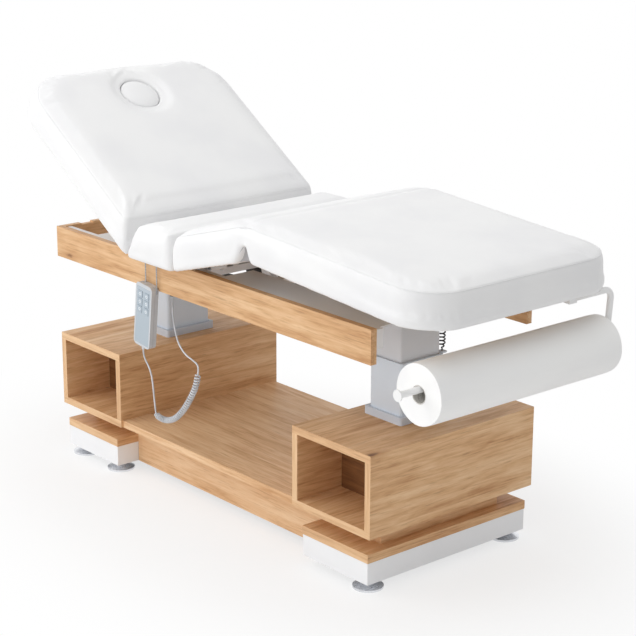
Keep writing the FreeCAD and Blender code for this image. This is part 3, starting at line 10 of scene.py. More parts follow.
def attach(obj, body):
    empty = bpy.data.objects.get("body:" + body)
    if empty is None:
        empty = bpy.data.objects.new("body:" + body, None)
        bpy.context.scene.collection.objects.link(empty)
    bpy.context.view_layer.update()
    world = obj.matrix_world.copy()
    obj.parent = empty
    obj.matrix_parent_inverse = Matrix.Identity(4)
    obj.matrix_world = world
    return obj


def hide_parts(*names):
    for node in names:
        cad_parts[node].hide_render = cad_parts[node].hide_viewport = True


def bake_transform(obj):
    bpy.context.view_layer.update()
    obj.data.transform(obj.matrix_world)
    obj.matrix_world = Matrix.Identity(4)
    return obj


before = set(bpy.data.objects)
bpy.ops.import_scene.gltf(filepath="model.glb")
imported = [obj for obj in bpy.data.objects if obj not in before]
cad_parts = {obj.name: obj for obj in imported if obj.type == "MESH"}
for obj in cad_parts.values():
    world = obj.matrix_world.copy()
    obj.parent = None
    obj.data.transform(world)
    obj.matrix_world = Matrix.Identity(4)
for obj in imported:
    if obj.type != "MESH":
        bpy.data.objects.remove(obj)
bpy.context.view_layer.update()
scene = bpy.context.scene

# The row frame is the source's base frame moved by this shift
SHIFT = Vector((-0.06522, 0.009, 0))


def at(x, y, z):
    """A point of the part's source, in its base millimetres, in the row frame."""
    return SHIFT + Vector((x, y, z)) / 1000


# Camera
CAMERA_BASE = (4103.98, -3388.90, 2130.73)
YAW, PITCH, ROLL = math.radians(49.338), math.radians(16.472), math.radians(0.24)
FOCAL_PIXELS, IMAGE_WIDTH, SENSOR, CLIP_END = 1852.02, 636, 36, 50
camera_data = bpy.data.cameras.new("Camera")
camera_data.sensor_width = SENSOR
camera_data.lens = FOCAL_PIXELS / IMAGE_WIDTH * SENSOR
camera_data.clip_end = CLIP_END
camera = bpy.data.objects.new("Camera", camera_data)
scene.collection.objects.link(camera)
back = Vector((math.sin(YAW) * math.cos(PITCH), -math.cos(YAW) * math.cos(PITCH),
               math.sin(PITCH)))
level_right = (-back).cross(Vector((0, 0, 1))).normalized()
level_up = level_right.cross(-back)
right = level_right * math.cos(ROLL) + level_up * math.sin(ROLL)
up = level_up * math.cos(ROLL) - level_right * math.sin(ROLL)
turn = Matrix((right, up, back)).transposed().to_4x4()
camera.matrix_world = Matrix.Translation(at(*CAMERA_BASE)) @ turn
scene.camera = camera


# Mesh helpers
def link(name, mesh):
    thing = bpy.data.objects.new(name, mesh)
    scene.collection.objects.link(thing)
    return thing


def mesh_of(name, points, faces):
    mesh = bpy.data.meshes.new(name)
    mesh.from_pydata([tuple(p) for p in points], [], faces)
    mesh.validate()
    mesh.update()
    return mesh


def smooth(thing, angle=None):
    thing.data.shade_smooth()
    if angle:
        thing.data.set_sharp_from_angle(angle=math.radians(angle))
    return thing


def tube(name, path, radius, sides=10, closed=False):
    """A round tube along points, its section carried along without twist."""
    path = [Vector(p) for p in path]
    count = len(path)
    ways = []
    for i in range(count):
        if closed:
            way = path[(i + 1) % count] - path[i - 1]
        else:
            way = path[min(i + 1, count - 1)] - path[max(i - 1, 0)]
        ways.append(way.normalized())
    side = ways[0].orthogonal().normalized()
    points, faces = [], []
    for i, (centre, way) in enumerate(zip(path, ways)):
        if i:
            side = ways[i - 1].rotation_difference(way) @ side
            side = (side - way * side.dot(way)).normalized()
        other = way.cross(side)
        for k in range(sides):
            a = 2 * math.pi * k / sides
            points.append(centre + (side * math.cos(a) + other * math.sin(a)) * radius)
    rings = count if closed else count - 1
    for i in range(rings):
        j = (i + 1) % count
        for k in range(sides):
            m = (k + 1) % sides
            faces.append((i * sides + k, i * sides + m, j * sides + m, j * sides + k))
    if not closed:
        faces.append(tuple(reversed(range(sides))))
        faces.append(tuple((count - 1) * sides + k for k in range(sides)))
    return smooth(link(name, mesh_of(name, points, faces)))


def lathe(name, profile, centre, axis, sides=128):
    """A turned form from pairs of radius and height along an axis."""
    axis = Vector(axis).normalized()
    side = axis.orthogonal().normalized()
    other = axis.cross(side)
    points, faces = [], []
    for reach, height in profile:
        for k in range(sides):
            a = 2 * math.pi * k / sides
            out = side * math.cos(a) + other * math.sin(a)
            points.append(centre + axis * height + out * reach)
    for i in range(len(profile) - 1):
        for k in range(sides):
            m = (k + 1) % sides
            faces.append((i * sides + k, i * sides + m,
                          (i + 1) * sides + m, (i + 1) * sides + k))
    return link(name, mesh_of(name, points, faces))


def nurbs_points(route, name, per_point=14):
    """Points along the smooth NURBS curve that has these control points."""
    data = bpy.data.curves.new(name, "CURVE")
    data.dimensions = "3D"
    data.resolution_u = per_point
    spline = data.splines.new("NURBS")
    spline.points.add(len(route) - 1)
    for point, place in zip(spline.points, route):
        point.co = (*place, 1)
    spline.order_u = 3
    spline.use_endpoint_u = True
    thing = link(name, data)
    bpy.context.view_layer.update()
    line = bpy.data.meshes.new_from_object(thing)
    points = [v.co.copy() for v in line.vertices]
    bpy.data.objects.remove(thing)
    return points


def even(points, count):
    """The same line as count points at equal steps."""
    reach = [0]
    for a, b in zip(points, points[1:]):
        reach.append(reach[-1] + (b - a).length)
    result, k = [], 0
    for i in range(count):
        target = reach[-1] * i / (count - 1)
        while k < len(points) - 2 and reach[k + 1] < target:
            k += 1
        span = reach[k + 1] - reach[k]
        result.append(points[k].lerp(points[k + 1], (target - reach[k]) / span if span else 0))
    return result


def length_of(points):
    return sum((b - a).length for a, b in zip(points, points[1:]))


LINE_STEPS, STEPS_PER_TURN = 2000, 18


def curled(points, turns, coil, wire, ramp_turns):
    """A curly cord's line: a helix around points that widens over ramp_turns at each end."""
    count = turns * STEPS_PER_TURN + 1
    line = even(points, LINE_STEPS + 1)
    skip = math.ceil(2 * wire / (length_of(points) / LINE_STEPS))
    result = [line[0]]
    for i in range(count):
        share = i / (count - 1)
        place = skip + share * (LINE_STEPS - 2 * skip)
        low = min(int(place), LINE_STEPS - 1)
        along = (line[low + 1] - line[low]).normalized()
        centre = line[low].lerp(line[low + 1], place - low)
        out = Vector((0, 1, 0)) - along * along.y
        out.normalize()
        aside = along.cross(out)
        ramp = min(1, share * turns / ramp_turns, (1 - share) * turns / ramp_turns)
        ramp = ramp * ramp * (3 - 2 * ramp)
        a = 2 * math.pi * turns * share
        result.append(centre + (out * math.cos(a) + aside * math.sin(a)) * coil * ramp)
    return result + [line[-1]]


# Cords
RELIEF_TIP = at(-277.34, -318.5, 458.36)
LEAD = [RELIEF_TIP, at(-279.79, -318.5, 436.5), at(-235.5, -322, 399), at(-225, -322.5, 351),
        at(-222.5, -320.8, 307), at(-218.5, -320, 275)]
CURLS = [at(-218.5, -320, 275), at(-216.9, -319.68, 262.2), at(-174, -319.5, 257),
         at(-126, -319, 272), at(-80, -317.5, 313), at(-46, -313, 364), at(-25.6, -307.52, 408),
         at(-22, -305, 444)]
TAIL = [at(-22, -305, 444), at(-20, -303.6, 464), at(-49, -301, 472), at(-97, -295, 477),
        at(-141, -288, 500), at(-173, -277, 537), at(-196, -266, 577), at(-208, -258, 606),
        at(-208, -258, 627)]
CORD_RADIUS, CURL_RADIUS, CURL_TURNS, CURL_RAMP = 0.0025, 0.0073, 34, 0.8
LEAD_STEPS, TAIL_STEPS, FINE, CORD_SIDES = 60, 70, 24, 8
lead_line = even(nurbs_points(LEAD, "lead_route"), LEAD_STEPS)
cord_lead = tube("cord_lead", lead_line, CORD_RADIUS)
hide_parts("handset_cord_lead")
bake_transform(cord_lead)
curl_line = curled(nurbs_points(CURLS, "curl_route", FINE), CURL_TURNS, CURL_RADIUS, CORD_RADIUS,
                   CURL_RAMP)
tail_line = even(nurbs_points(TAIL, "tail_route"), TAIL_STEPS)
curly_line = curl_line + tail_line[1:]
curly_cord = tube("curly_cord", curly_line, CORD_RADIUS, sides=CORD_SIDES)
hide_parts("handset_cord_curls", "handset_cord_tail")
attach(curly_cord, "lift")

# The cable down the side of the foot column
CABLE_X, CABLE_Y, CABLE_LOW, CABLE_HIGH = 580, 96, 576, 708
CABLE_RADIUS, CABLE_COIL, CABLE_TURNS, CABLE_RAMP = 0.0021, 0.0079, 12, 1.5
CABLE = [at(CABLE_X, CABLE_Y, z) for z in (CABLE_LOW, (CABLE_LOW + CABLE_HIGH) / 2, CABLE_HIGH)]
cable_line = curled(nurbs_points(CABLE, "cable_route", FINE), CABLE_TURNS, CABLE_COIL,
                    CABLE_RADIUS, CABLE_RAMP)
column_spiral = tube("column_spiral", cable_line, CABLE_RADIUS, sides=CORD_SIDES)
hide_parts("column_cable")
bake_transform(column_spiral)


# Materials
class Paint:
    """One node material with short calls for the nodes used here."""

    def __init__(self, name, roughness=0.5, metallic=0.0, specular=0.5):
        self.material = bpy.data.materials.new(name)
        self.material.use_nodes = True
        self.tree = self.material.node_tree
        self.shader = self.tree.nodes["Principled BSDF"]
        self.shader.inputs["Roughness"].default_value = roughness
        self.shader.inputs["Metallic"].default_value = metallic
        self.shader.inputs["Specular IOR Level"].default_value = specular

    def node(self, kind, inputs=(), **settings):
        made = self.tree.nodes.new(kind)
        for key, value in settings.items():
            setattr(made, key, value)
        for key, value in dict(inputs).items():
            if isinstance(value, bpy.types.NodeSocket):
                self.tree.links.new(value, made.inputs[key])
            else:
                made.inputs[key].default_value = value
        return made

    def place(self, scale=(1, 1, 1), shift=(0, 0, 0), turn=(0, 0, 0)):
        """Object coordinates in metres, moved, turned and stretched."""
        source = self.node("ShaderNodeTexCoord").outputs["Object"]
        return self.node("ShaderNodeMapping", {
            "Vector": source, "Scale": scale, "Location": shift,
            "Rotation": turn}).outputs["Vector"]

    def noise(self, vector, scale, detail=2, roughness=0.5, distortion=0.0):
        return self.node("ShaderNodeTexNoise", {
            "Vector": vector, "Scale": scale, "Detail": detail, "Roughness": roughness,
            "Distortion": distortion}).outputs["Fac"]

    def sum(self, operation, first, second=None):
        inputs = {0: first}
        if second is not None:
            inputs[1] = second
        return self.node("ShaderNodeMath", inputs, operation=operation).outputs[0]

    def span(self, value, low, high, out_low=0.0, out_high=1.0):
        return self.node("ShaderNodeMapRange", {
            "Value": value, "From Min": low, "From Max": high, "To Min": out_low,
            "To Max": out_high}, interpolation_type="SMOOTHSTEP").outputs["Result"]

    def ramp(self, value, *stops):
        made = self.node("ShaderNodeValToRGB", {"Fac": value})
        elements = made.color_ramp.elements
        while len(elements) < len(stops):
            elements.new(0.5)
        for element, (place, color) in zip(elements, stops):
            element.position = place
            element.color = (*srgb(color), 1)
        return made.outputs["Color"]

    def mix(self, share, first, second):
        made = self.node("ShaderNodeMix", data_type="RGBA")
        for key, value in (("Factor", share), ("A", first), ("B", second)):
            sockets = [s for s in made.inputs if s.name == key and s.enabled]
            if isinstance(value, bpy.types.NodeSocket):
                self.tree.links.new(value, sockets[0])
            elif key == "Factor":
                sockets[0].default_value = value
            else:
                sockets[0].default_value = (*srgb(value), 1)
        return next(s for s in made.outputs if s.enabled)

    def color(self, value):
        target = self.shader.inputs["Base Color"]
        if isinstance(value, bpy.types.NodeSocket):
            self.tree.links.new(value, target)
        else:
            target.default_value = (*srgb(value), 1)
        return self

    def rough(self, value):
        self.tree.links.new(value, self.shader.inputs["Roughness"])
        return self

    def bump(self, height, distance=0.0005, strength=1.0):
        made = self.node("ShaderNodeBump", {"Height": height, "Distance": distance,
                                            "Strength": strength})
        last = self.shader.inputs["Normal"]
        if last.links:
            self.tree.links.new(last.links[0].from_socket, made.inputs["Normal"])
        self.tree.links.new(made.outputs["Normal"], last)
        return self


def srgb(color):
    """A colour given as 0 to 255 screen values, as linear shares."""
    result = []
    for value in color:
        share = value / 255
        result.append(share / 12.92 if share <= 0.04045 else ((share + 0.055) / 1.055) ** 2.4)
    return tuple(result)


# Layers of the grain: stretch along and across it, detail, roughness and distortion
BROAD, STREAKS, FIBRE = (1.1, 8, 2, 0.5, 0.3), (3.2, 46, 4, 0.62, 0.5), (11, 230, 3, 0.6, 0.3)
FLAME, CRACKS, RAGGED = (5, 22, 3, 0.6, 1.6), (9, 120, 3, 0.65, 0.0), (22, 70, 3, 0.6, 0.0)
STREAK_SHARE, FIBRE_SHARE, BROAD_SHARE, FLAME_SHARE = 0.42, 0.2, 0.2, 0.18
PORE_SHARE, KNOT_STRETCH, KNOTS_FROM, RAGGED_SHARE = 0.2, (3.1, 9.3), 0.5, 0.11


def oak_color(paint, axis, tone, seed):
    """Rustic oak laminate with its grain along an axis, drawn in object coordinates."""
    pale, middle, deep, knot_tone = tone

    def stretched(along, across):
        scale = {"x": (along, across, across), "y": (across, along, across),
                 "z": (across, across, along)}[axis]
        return paint.place(scale=scale, shift=(seed * 1.7, seed * 2.3, seed * 0.9))

    def layer(along, across, detail, roughness, distortion):
        return paint.noise(stretched(along, across), 1.0, detail, roughness, distortion)

    broad, streaks, fibre, flame = layer(*BROAD), layer(*STREAKS), layer(*FIBRE), layer(*FLAME)
    grain = paint.sum("MULTIPLY", streaks, STREAK_SHARE)
    for value, share in ((fibre, FIBRE_SHARE), (broad, BROAD_SHARE), (flame, FLAME_SHARE)):
        grain = paint.sum("ADD", grain, paint.sum("MULTIPLY", value, share))
    base = paint.ramp(grain, (0.38, pale), (0.5, middle), (0.62, deep))
    pores = paint.span(fibre, 0.56, 0.72)
    base = paint.mix(paint.sum("MULTIPLY", pores, PORE_SHARE), base, knot_tone)
    cracks = paint.span(layer(*CRACKS), 0.67, 0.76, 0.0, 0.5)
    cracks = paint.sum("MULTIPLY", cracks, paint.span(flame, 0.45, 0.6))
    base = paint.mix(cracks, base, knot_tone)
    knots = paint.node("ShaderNodeTexVoronoi", {"Vector": stretched(*KNOT_STRETCH), "Scale": 1.0})
    picked = paint.sum("GREATER_THAN", paint.node("ShaderNodeSeparateColor", {
        "Color": knots.outputs["Color"]}).outputs[0], KNOTS_FROM)
    ragged = paint.sum("SUBTRACT", layer(*RAGGED), 0.5)
    away = paint.sum("ADD", knots.outputs["Distance"],
                     paint.sum("MULTIPLY", ragged, RAGGED_SHARE))
    halo = paint.sum("MULTIPLY", paint.span(away, 0.03, 0.27, 0.7, 0.0), picked)
    core = paint.sum("MULTIPLY", paint.span(away, 0.02, 0.095, 0.85, 0.0), picked)
    base = paint.mix(core, paint.mix(halo, base, deep), knot_tone)
    return base, streaks, pores


OAK = ((234, 197, 154), (217, 173, 127), (188, 138, 92), (104, 67, 40))
OAK_LIGHT = ((240, 205, 165), (226, 184, 140), (200, 151, 105), (112, 74, 46))
# The next tone is darker oak for the niche backs: painted shade inside the niches.
OAK_NICHE_SHADE = ((146, 102, 64), (128, 86, 51), (102, 64, 36), (62, 37, 20))
STRIP_TONE, STRIP_SHARE, STRIP_SEED = (240, 205, 165), 0.2, 4


def oak(name, axis, tone=OAK, edge_axis=None, seed=1.0):
    """Board faces in one grain; board edges, which face along Y, in the edge strip's own."""
    paint = Paint(name, roughness=0.46, specular=0.35)
    face, streaks, pores = oak_color(paint, axis, tone, seed)
    if edge_axis:
        strip, _, _ = oak_color(paint, edge_axis, tone, seed + STRIP_SEED)
        strip = paint.mix(STRIP_SHARE, strip, STRIP_TONE)
        normal = paint.node("ShaderNodeTexCoord").outputs["Normal"]
        sideways = paint.sum("ABSOLUTE", paint.node("ShaderNodeSeparateXYZ", {
            "Vector": normal}).outputs["Y"])
        face = paint.mix(paint.sum("GREATER_THAN", sideways, 0.7), face, strip)
    paint.color(face)
    paint.rough(paint.span(streaks, 0.3, 0.7, 0.40, 0.55))
    paint.bump(paint.sum("ADD", paint.sum("MULTIPLY", pores, -0.6),
                         paint.sum("MULTIPLY", streaks, 0.4)), 0.0003, 0.55)
    return paint.material


def leather(name="leather", light=(240, 240, 240), dull=(235, 235, 236)):
    """Smooth faux leather: fine pebbled grain, faint unevenness of the foam below."""
    paint = Paint(name, roughness=0.42, specular=0.42)
    spot = paint.place()
    cells = paint.node("ShaderNodeTexVoronoi", {"Vector": spot, "Scale": 620.0},
                       feature="SMOOTH_F1").outputs["Distance"]
    slow = paint.noise(spot, 5.0, 3, 0.5)
    paint.color(paint.mix(paint.span(slow, 0.3, 0.7), light, dull))
    paint.rough(paint.span(paint.noise(spot, 60, 3), 0.3, 0.7, 0.38, 0.48))
    paint.bump(cells, 0.00012, 0.35)
    paint.bump(paint.noise(spot, 14.0, 2, 0.4), 0.0012, 0.25)
    return paint.material


def painted(name, color, roughness, peel=700.0):
    """Powder coat or moulded plastic with a fine orange peel and slight changes of tone."""
    paint = Paint(name, roughness=roughness)
    spot = paint.place()
    slow = paint.noise(spot, 6.0, 3, 0.55)
    tone = tuple(max(0, c - 3) for c in color)
    paint.color(paint.mix(paint.span(slow, 0.3, 0.72), color, tone))
    paint.rough(paint.span(paint.noise(spot, 45, 3), 0.3, 0.7,
                           roughness - 0.02, roughness + 0.03))
    paint.bump(paint.noise(spot, peel, 2, 0.5), 0.00006, 0.2)
    return paint.material


def metal(name, color, roughness, axis=None, strength=0.3):
    """Bare metal, brushed along an axis or plain polished, with faint smears."""
    paint = Paint(name, roughness=roughness, metallic=1.0)
    scale = {"x": (2, 90, 90), "y": (90, 2, 90), "z": (90, 90, 2), None: (30, 30, 30)}[axis]
    lines = paint.noise(paint.place(scale=scale), 9.0, 3, 0.6)
    smear = paint.noise(paint.place(), 9.0, 3, 0.5)
    dull = tuple(int(c * 0.93) for c in color)
    paint.color(paint.mix(paint.span(smear, 0.3, 0.7), color, dull))
    paint.rough(paint.span(lines, 0.25, 0.75, roughness * 0.75, roughness * 1.3))
    paint.bump(lines, 0.0001, strength)
    return paint.material


def plywood():
    """Raw plywood: pale face veneer and darker glue lines on the edges."""
    paint = Paint("plywood", roughness=0.75, specular=0.25)
    fibre = paint.noise(paint.place(scale=(26, 1.2, 26)), 3.0, 4, 0.6)
    tone = paint.ramp(fibre, (0.3, (206, 178, 138)), (0.7, (176, 143, 100)))
    plies = paint.node("ShaderNodeTexWave", {
        "Vector": paint.place(), "Scale": 105.0, "Distortion": 0.4},
        bands_direction="Z").outputs["Fac"]
    paint.color(paint.mix(paint.sum("MULTIPLY", paint.span(plies, 0.55, 0.8), 0.35), tone,
                          (112, 82, 52)))
    paint.bump(fibre, 0.0004, 0.5)
    return paint.material


def paper():
    """White crepe couch paper: fine creases across the width."""
    paint = Paint("crepe_paper", roughness=0.86, specular=0.2)
    crepe = paint.noise(paint.place(scale=(1, 0.16, 1)), 420.0, 3, 0.65)
    slow = paint.noise(paint.place(scale=(1, 0.35, 1)), 7.0, 2, 0.5)
    paint.color(paint.mix(paint.span(slow, 0.35, 0.7), (252, 252, 251), (247, 247, 247)))
    paint.bump(crepe, 0.00035, 0.35)
    paint.bump(slow, 0.004, 0.2)
    return paint.material


def card():
    """Pale grey card with its spiral joint and flecks."""
    paint = Paint("core_card", roughness=0.8, specular=0.2)
    wound = paint.node("ShaderNodeTexWave", {
        "Vector": paint.place(turn=(0.5, 0, 0)), "Scale": 22.0, "Distortion": 0.5},
        bands_direction="Y").outputs["Fac"]
    fleck = paint.noise(paint.place(), 320.0, 3)
    tone = paint.mix(paint.span(fleck, 0.4, 0.7), (226, 224, 219), (207, 204, 198))
    paint.color(paint.mix(paint.span(wound, 0.8, 0.98, 0.0, 0.5), tone, (176, 172, 165)))
    paint.bump(fleck, 0.0002, 0.4)
    return paint.material


def rubber(name, color):
    """A cord's soft sheath, slightly uneven in tone and gloss."""
    paint = Paint(name, roughness=0.42, specular=0.45)
    spot = paint.place()
    tone = tuple(int(c * 0.9) for c in color)
    paint.color(paint.mix(paint.span(paint.noise(spot, 35.0, 3), 0.35, 0.7), color, tone))
    paint.rough(paint.span(paint.noise(spot, 160.0, 2), 0.3, 0.7, 0.36, 0.52))
    paint.bump(paint.noise(spot, 900.0, 2), 0.0001, 0.3)
    return paint.material


HANDSET_MIDDLE = at(-259, -331, 568)
HANDSET_TILT = math.radians(6.4)
SHEET_HALF_WIDTH, SHEET_HALF_HEIGHT, SHEET_MIDDLE, SHEET_DEPTH = 0.0335, 0.0895, -0.002, 0.0012
CASE_SEAM_Y = 0.0125


def handset_frame(paint):
    """Width and height on the handset's front, in metres from its middle."""
    spot = paint.node("ShaderNodeTexCoord").outputs["Object"]
    moved = paint.node("ShaderNodeVectorMath", {0: spot, 1: tuple(-HANDSET_MIDDLE)},
                       operation="ADD").outputs[0]
    turned = paint.node("ShaderNodeVectorRotate", {"Vector": moved, "Angle": -HANDSET_TILT},
                        rotation_type="Y_AXIS").outputs[0]
    parts = paint.node("ShaderNodeSeparateXYZ", {"Vector": turned})
    return parts.outputs["X"], parts.outputs["Y"], parts.outputs["Z"]


def handset_plastic():
    """Silver case, its blue grey front sheet in a fine dark line, and a seam round the side."""
    paint = Paint("handset_plastic", roughness=0.34, specular=0.5)
    x, y, z = handset_frame(paint)
    spot = paint.place()
    grit = paint.noise(spot, 900.0, 2)
    case = paint.mix(paint.span(paint.noise(spot, 30, 3), 0.35, 0.7), (202, 206, 210),
                     (196, 201, 206))
    across = paint.sum("SUBTRACT", paint.sum("ABSOLUTE", x), SHEET_HALF_WIDTH)
    height = paint.sum("ABSOLUTE", paint.sum("SUBTRACT", z, SHEET_MIDDLE))
    upright = paint.sum("SUBTRACT", height, SHEET_HALF_HEIGHT)
    edge = paint.sum("MAXIMUM", across, upright)
    front = paint.sum("LESS_THAN", y, SHEET_DEPTH)
    inside = paint.sum("MULTIPLY", paint.span(edge, -0.0004, 0.0002, 1.0, 0.0), front)
    rim = paint.sum("MULTIPLY", paint.sum("SUBTRACT", paint.span(edge, 0.0001, 0.0006, 1.0, 0.0),
                                          paint.span(edge, -0.0008, -0.0003, 1.0, 0.0)), front)
    sheet_tone = paint.mix(paint.span(z, -0.09, 0.09), (172, 184, 193), (179, 190, 199))
    look = paint.mix(inside, case, sheet_tone)
    look = paint.mix(paint.sum("MULTIPLY", rim, 0.6), look, (140, 147, 153))
    seam = paint.sum("ABSOLUTE", paint.sum("SUBTRACT", y, CASE_SEAM_Y))
    seam = paint.span(seam, 0.0002, 0.0005, 0.7, 0.0)
    look = paint.mix(seam, look, (110, 112, 115))
    paint.color(look)
    paint.bump(grit, 0.00008, 0.4)
    return paint.material


RING = 0.17


def button_plastic():
    """Soft keys with a pale ring, drawn from each key's own middle."""
    paint = Paint("button_plastic", roughness=0.45, specular=0.4)
    spot = paint.node("ShaderNodeTexCoord").outputs["Generated"]
    parts = paint.node("ShaderNodeSeparateXYZ", {"Vector": spot})
    u = paint.sum("SUBTRACT", parts.outputs["X"], 0.5)
    v = paint.sum("SUBTRACT", parts.outputs["Z"], 0.5)
    reach = paint.sum("SQRT", paint.sum("ADD", paint.sum("MULTIPLY", u, u),
                                        paint.sum("MULTIPLY", v, v)))
    ring = paint.sum("ABSOLUTE", paint.sum("SUBTRACT", reach, RING))
    ring = paint.span(ring, 0.025, 0.055, 1.0, 0.0)
    tone = paint.mix(paint.span(paint.noise(paint.place(), 60, 2), 0.3, 0.7), (175, 187, 196),
                     (171, 183, 193))
    paint.color(paint.mix(ring, tone, (238, 241, 244)))
    paint.bump(ring, 0.0002, 0.5)
    paint.bump(paint.noise(paint.place(), 900, 2), 0.0001, 0.3)
    return paint.material


oak_faces = oak("oak_faces", "y", edge_axis="x", seed=1.0)
oak_uprights = oak("oak_uprights", "y", edge_axis="z", seed=2.2)
oak_rails = oak("oak_rails", "x", seed=3.1)
oak_deck = oak("oak_deck", "x", tone=OAK_LIGHT, seed=5.3)
oak_plinth = oak("oak_plinth", "y", edge_axis="x", seed=6.4)
# The niche backs take the darker tone as painted shade in the recess.
oak_niche = oak("oak_niche", "x", tone=OAK_NICHE_SHADE, seed=7.9)
white_leather = leather()
# The knee gussets' leather is grey: painted shade on the folds inside the notch.
gusset_painted_shade_leather = leather("gusset_painted_shade_leather", (196, 196, 199), (178, 178, 181))
coat_white = painted("coat_white", (243, 243, 243), 0.42)
coat_frame = painted("coat_frame", (238, 239, 241), 0.45)
plinth_white = painted("plinth_white", (243, 244, 246), 0.5, peel=900.0)
column_paint = painted("column_paint", (219, 228, 238), 0.46)
cover_plastic = painted("cover_plastic", (208, 216, 227), 0.5, peel=480.0)
inner_metal = painted("inner_column_paint", (218, 220, 224), 0.45)
dark_plastic = painted("dark_plastic", (70, 73, 78), 0.5, peel=500.0)
chrome = metal("chrome", (232, 234, 238), 0.24, strength=0.05)
zinc = metal("zinc", (178, 180, 184), 0.3, axis="y")
rod_steel = metal("rod_steel", (190, 192, 196), 0.2, axis="x")
raw_plywood = plywood()
crepe = paper()
core_card = card()
cord_rubber = rubber("cord_rubber", (216, 219, 224))
cable_rubber = rubber("cable_rubber", (66, 67, 70))
handset_case_look = handset_plastic()
button_look = button_plastic()

NODE_LOOKS = {
    "head_cabinet_top_bottom": oak_faces, "foot_cabinet_top_bottom": oak_faces,
    "head_cabinet_sides": oak_uprights, "foot_cabinet_sides": oak_uprights,
    "head_cabinet_niche_backs": oak_niche, "foot_cabinet_niche_backs": oak_niche,
    "deck_board": oak_deck, "deck_aprons": oak_deck, "risers": oak_plinth,
    "plinth_boards": oak_plinth, "plinth_blocks": plinth_white,
    "column_outer_tubes": column_paint, "column_covers": cover_plastic,
    "column_inner_tubes": inner_metal, "near_rail": oak_rails, "far_rail": oak_rails,
    "head_rail": oak_uprights, "lift_frame": coat_frame, "seat_board": raw_plywood,
    "hinge_pins": zinc, "control_box": dark_plastic, "handset_hanger": zinc,
    "back_board": raw_plywood, "back_frame": coat_frame, "thigh_board": raw_plywood,
    "thigh_frame": coat_frame, "leg_board": raw_plywood, "leg_frame": coat_frame,
    "roll_holder": coat_white, "leg_link": coat_frame, "roll_core": core_card,
    "back_actuator_housing": dark_plastic, "back_actuator_rod": rod_steel,
    "leg_actuator_housing": dark_plastic, "leg_actuator_rod": rod_steel,
    "handset_case": handset_case_look, "cord_relief": cord_rubber,
    "seat_cushion": white_leather, "back_cushion": white_leather, "thigh_cushion": white_leather,
    "leg_cushion": white_leather, "face_plug": white_leather, "paper_roll": crepe,
    "handset_cord_lead": cord_rubber, "handset_cord_curls": cord_rubber,
    "handset_cord_tail": cord_rubber, "column_cable": cable_rubber,
}
for name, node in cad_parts.items():
    look = NODE_LOOKS.get(name)
    if name.startswith("button"):
        look = button_look
    elif name.startswith("levelling_foot"):
        look = chrome
    for place in node.material_slots:
        place.material = look


def dress(thing, look):
    thing.data.materials.clear()
    thing.data.materials.append(look)
    return thing


dress(cord_lead, cord_rubber)
dress(curly_cord, cord_rubber)
dress(column_spiral, cable_rubber)


# Upholstery
class Section:
    """The frame of one pad: along its length, across, and up from its hinge line."""

    def __init__(self, x, z, degrees):
        self.origin = at(x, 0, z)
        angle = math.radians(degrees)
        self.along = Vector((math.cos(angle), 0, -math.sin(angle)))
        self.up = Vector((math.sin(angle), 0, math.cos(angle)))

    def world(self, x, y, z):
        """A point given in the pad's own millimetres."""
        return self.origin + (self.along * x + Vector((0, y, 0)) + self.up * z) / 1000

    def local(self, point):
        """A place, or a row of them, in the pad's own millimetres: along, across and up."""
        away = (np.array(point) - np.array(self.origin)) * 1000
        return away @ np.array((self.along, (0, 1, 0), self.up)).T


BACK, SEAT = Section(-290, 738, 33), Section(0, 748, 0)
THIGH, LEG = Section(-60, 738, -16), Section(277.01, 899.97, 4.1)
HALF_WIDTH = 375
HOLE_X, HOLE_RADIUS = -576, 66


def box_in(section, xs, ys, zs):
    """Corner points and faces of a block in a pad's own millimetres."""
    points = [section.world(x, y, z) for x in xs for y in ys for z in zs]
    return points, [(0, 1, 3, 2), (4, 6, 7, 5), (0, 4, 5, 1), (2, 3, 7, 6), (0, 2, 6, 4),
                    (1, 5, 7, 3)]


def merged(name, nodes, blocks=()):
    """The CAD nodes' own meshes, and any blocks between them, as one new piece."""
    bm = bmesh.new()
    for node in nodes:
        bm.from_mesh(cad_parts[node].data)
    bmesh.ops.remove_doubles(bm, verts=bm.verts, dist=1e-6)
    for points, faces in blocks:
        verts = [bm.verts.new(p) for p in points]
        for face in faces:
            bm.faces.new([verts[k] for k in face])
    bmesh.ops.recalc_face_normals(bm, faces=bm.faces)
    mesh = bpy.data.meshes.new(name)
    bm.to_mesh(mesh)
    bm.free()
    return link(name, mesh)


def apply_all(thing):
    """Modifiers as they stand now, made part of the mesh."""
    depsgraph = bpy.context.evaluated_depsgraph_get()
    mesh = bpy.data.meshes.new_from_object(thing.evaluated_get(depsgraph))
    thing.modifiers.clear()
    thing.data = mesh
    return thing


def remesh(thing, voxel):
    made = thing.modifiers.new("remesh", "REMESH")
    made.mode = "VOXEL"
    made.voxel_size = voxel
    return apply_all(thing)


def even_out(thing, rounds):
    made = thing.modifiers.new("even", "SMOOTH")
    made.iterations = rounds
    return apply_all(thing)


def subdivide(thing):
    made = thing.modifiers.new("finer", "SUBSURF")
    made.levels = made.render_levels = 1
    return apply_all(thing)


def step(value, low, high):
    share = np.clip((value - low) / (high - low), 0, 1)
    return share * share * (3 - 2 * share)


def places_of(mesh):
    """Every vertex's place, one row each."""
    values = np.empty(len(mesh.vertices) * 3)
    mesh.vertices.foreach_get("co", values)
    return values.reshape(-1, 3)


def normals_of(mesh):
    values = np.empty(len(mesh.vertices) * 3)
    mesh.vertex_normals.foreach_get("vector", values)
    return values.reshape(-1, 3)


def move_to(mesh, places):
    mesh.vertices.foreach_set("co", np.ascontiguousarray(places).ravel())
    mesh.update()


SHRINK, CAP, GROUPS, QUICK_SHARE, CLOTH_FRAMES = 0.002, 0.0075, 40, 0.6, 20


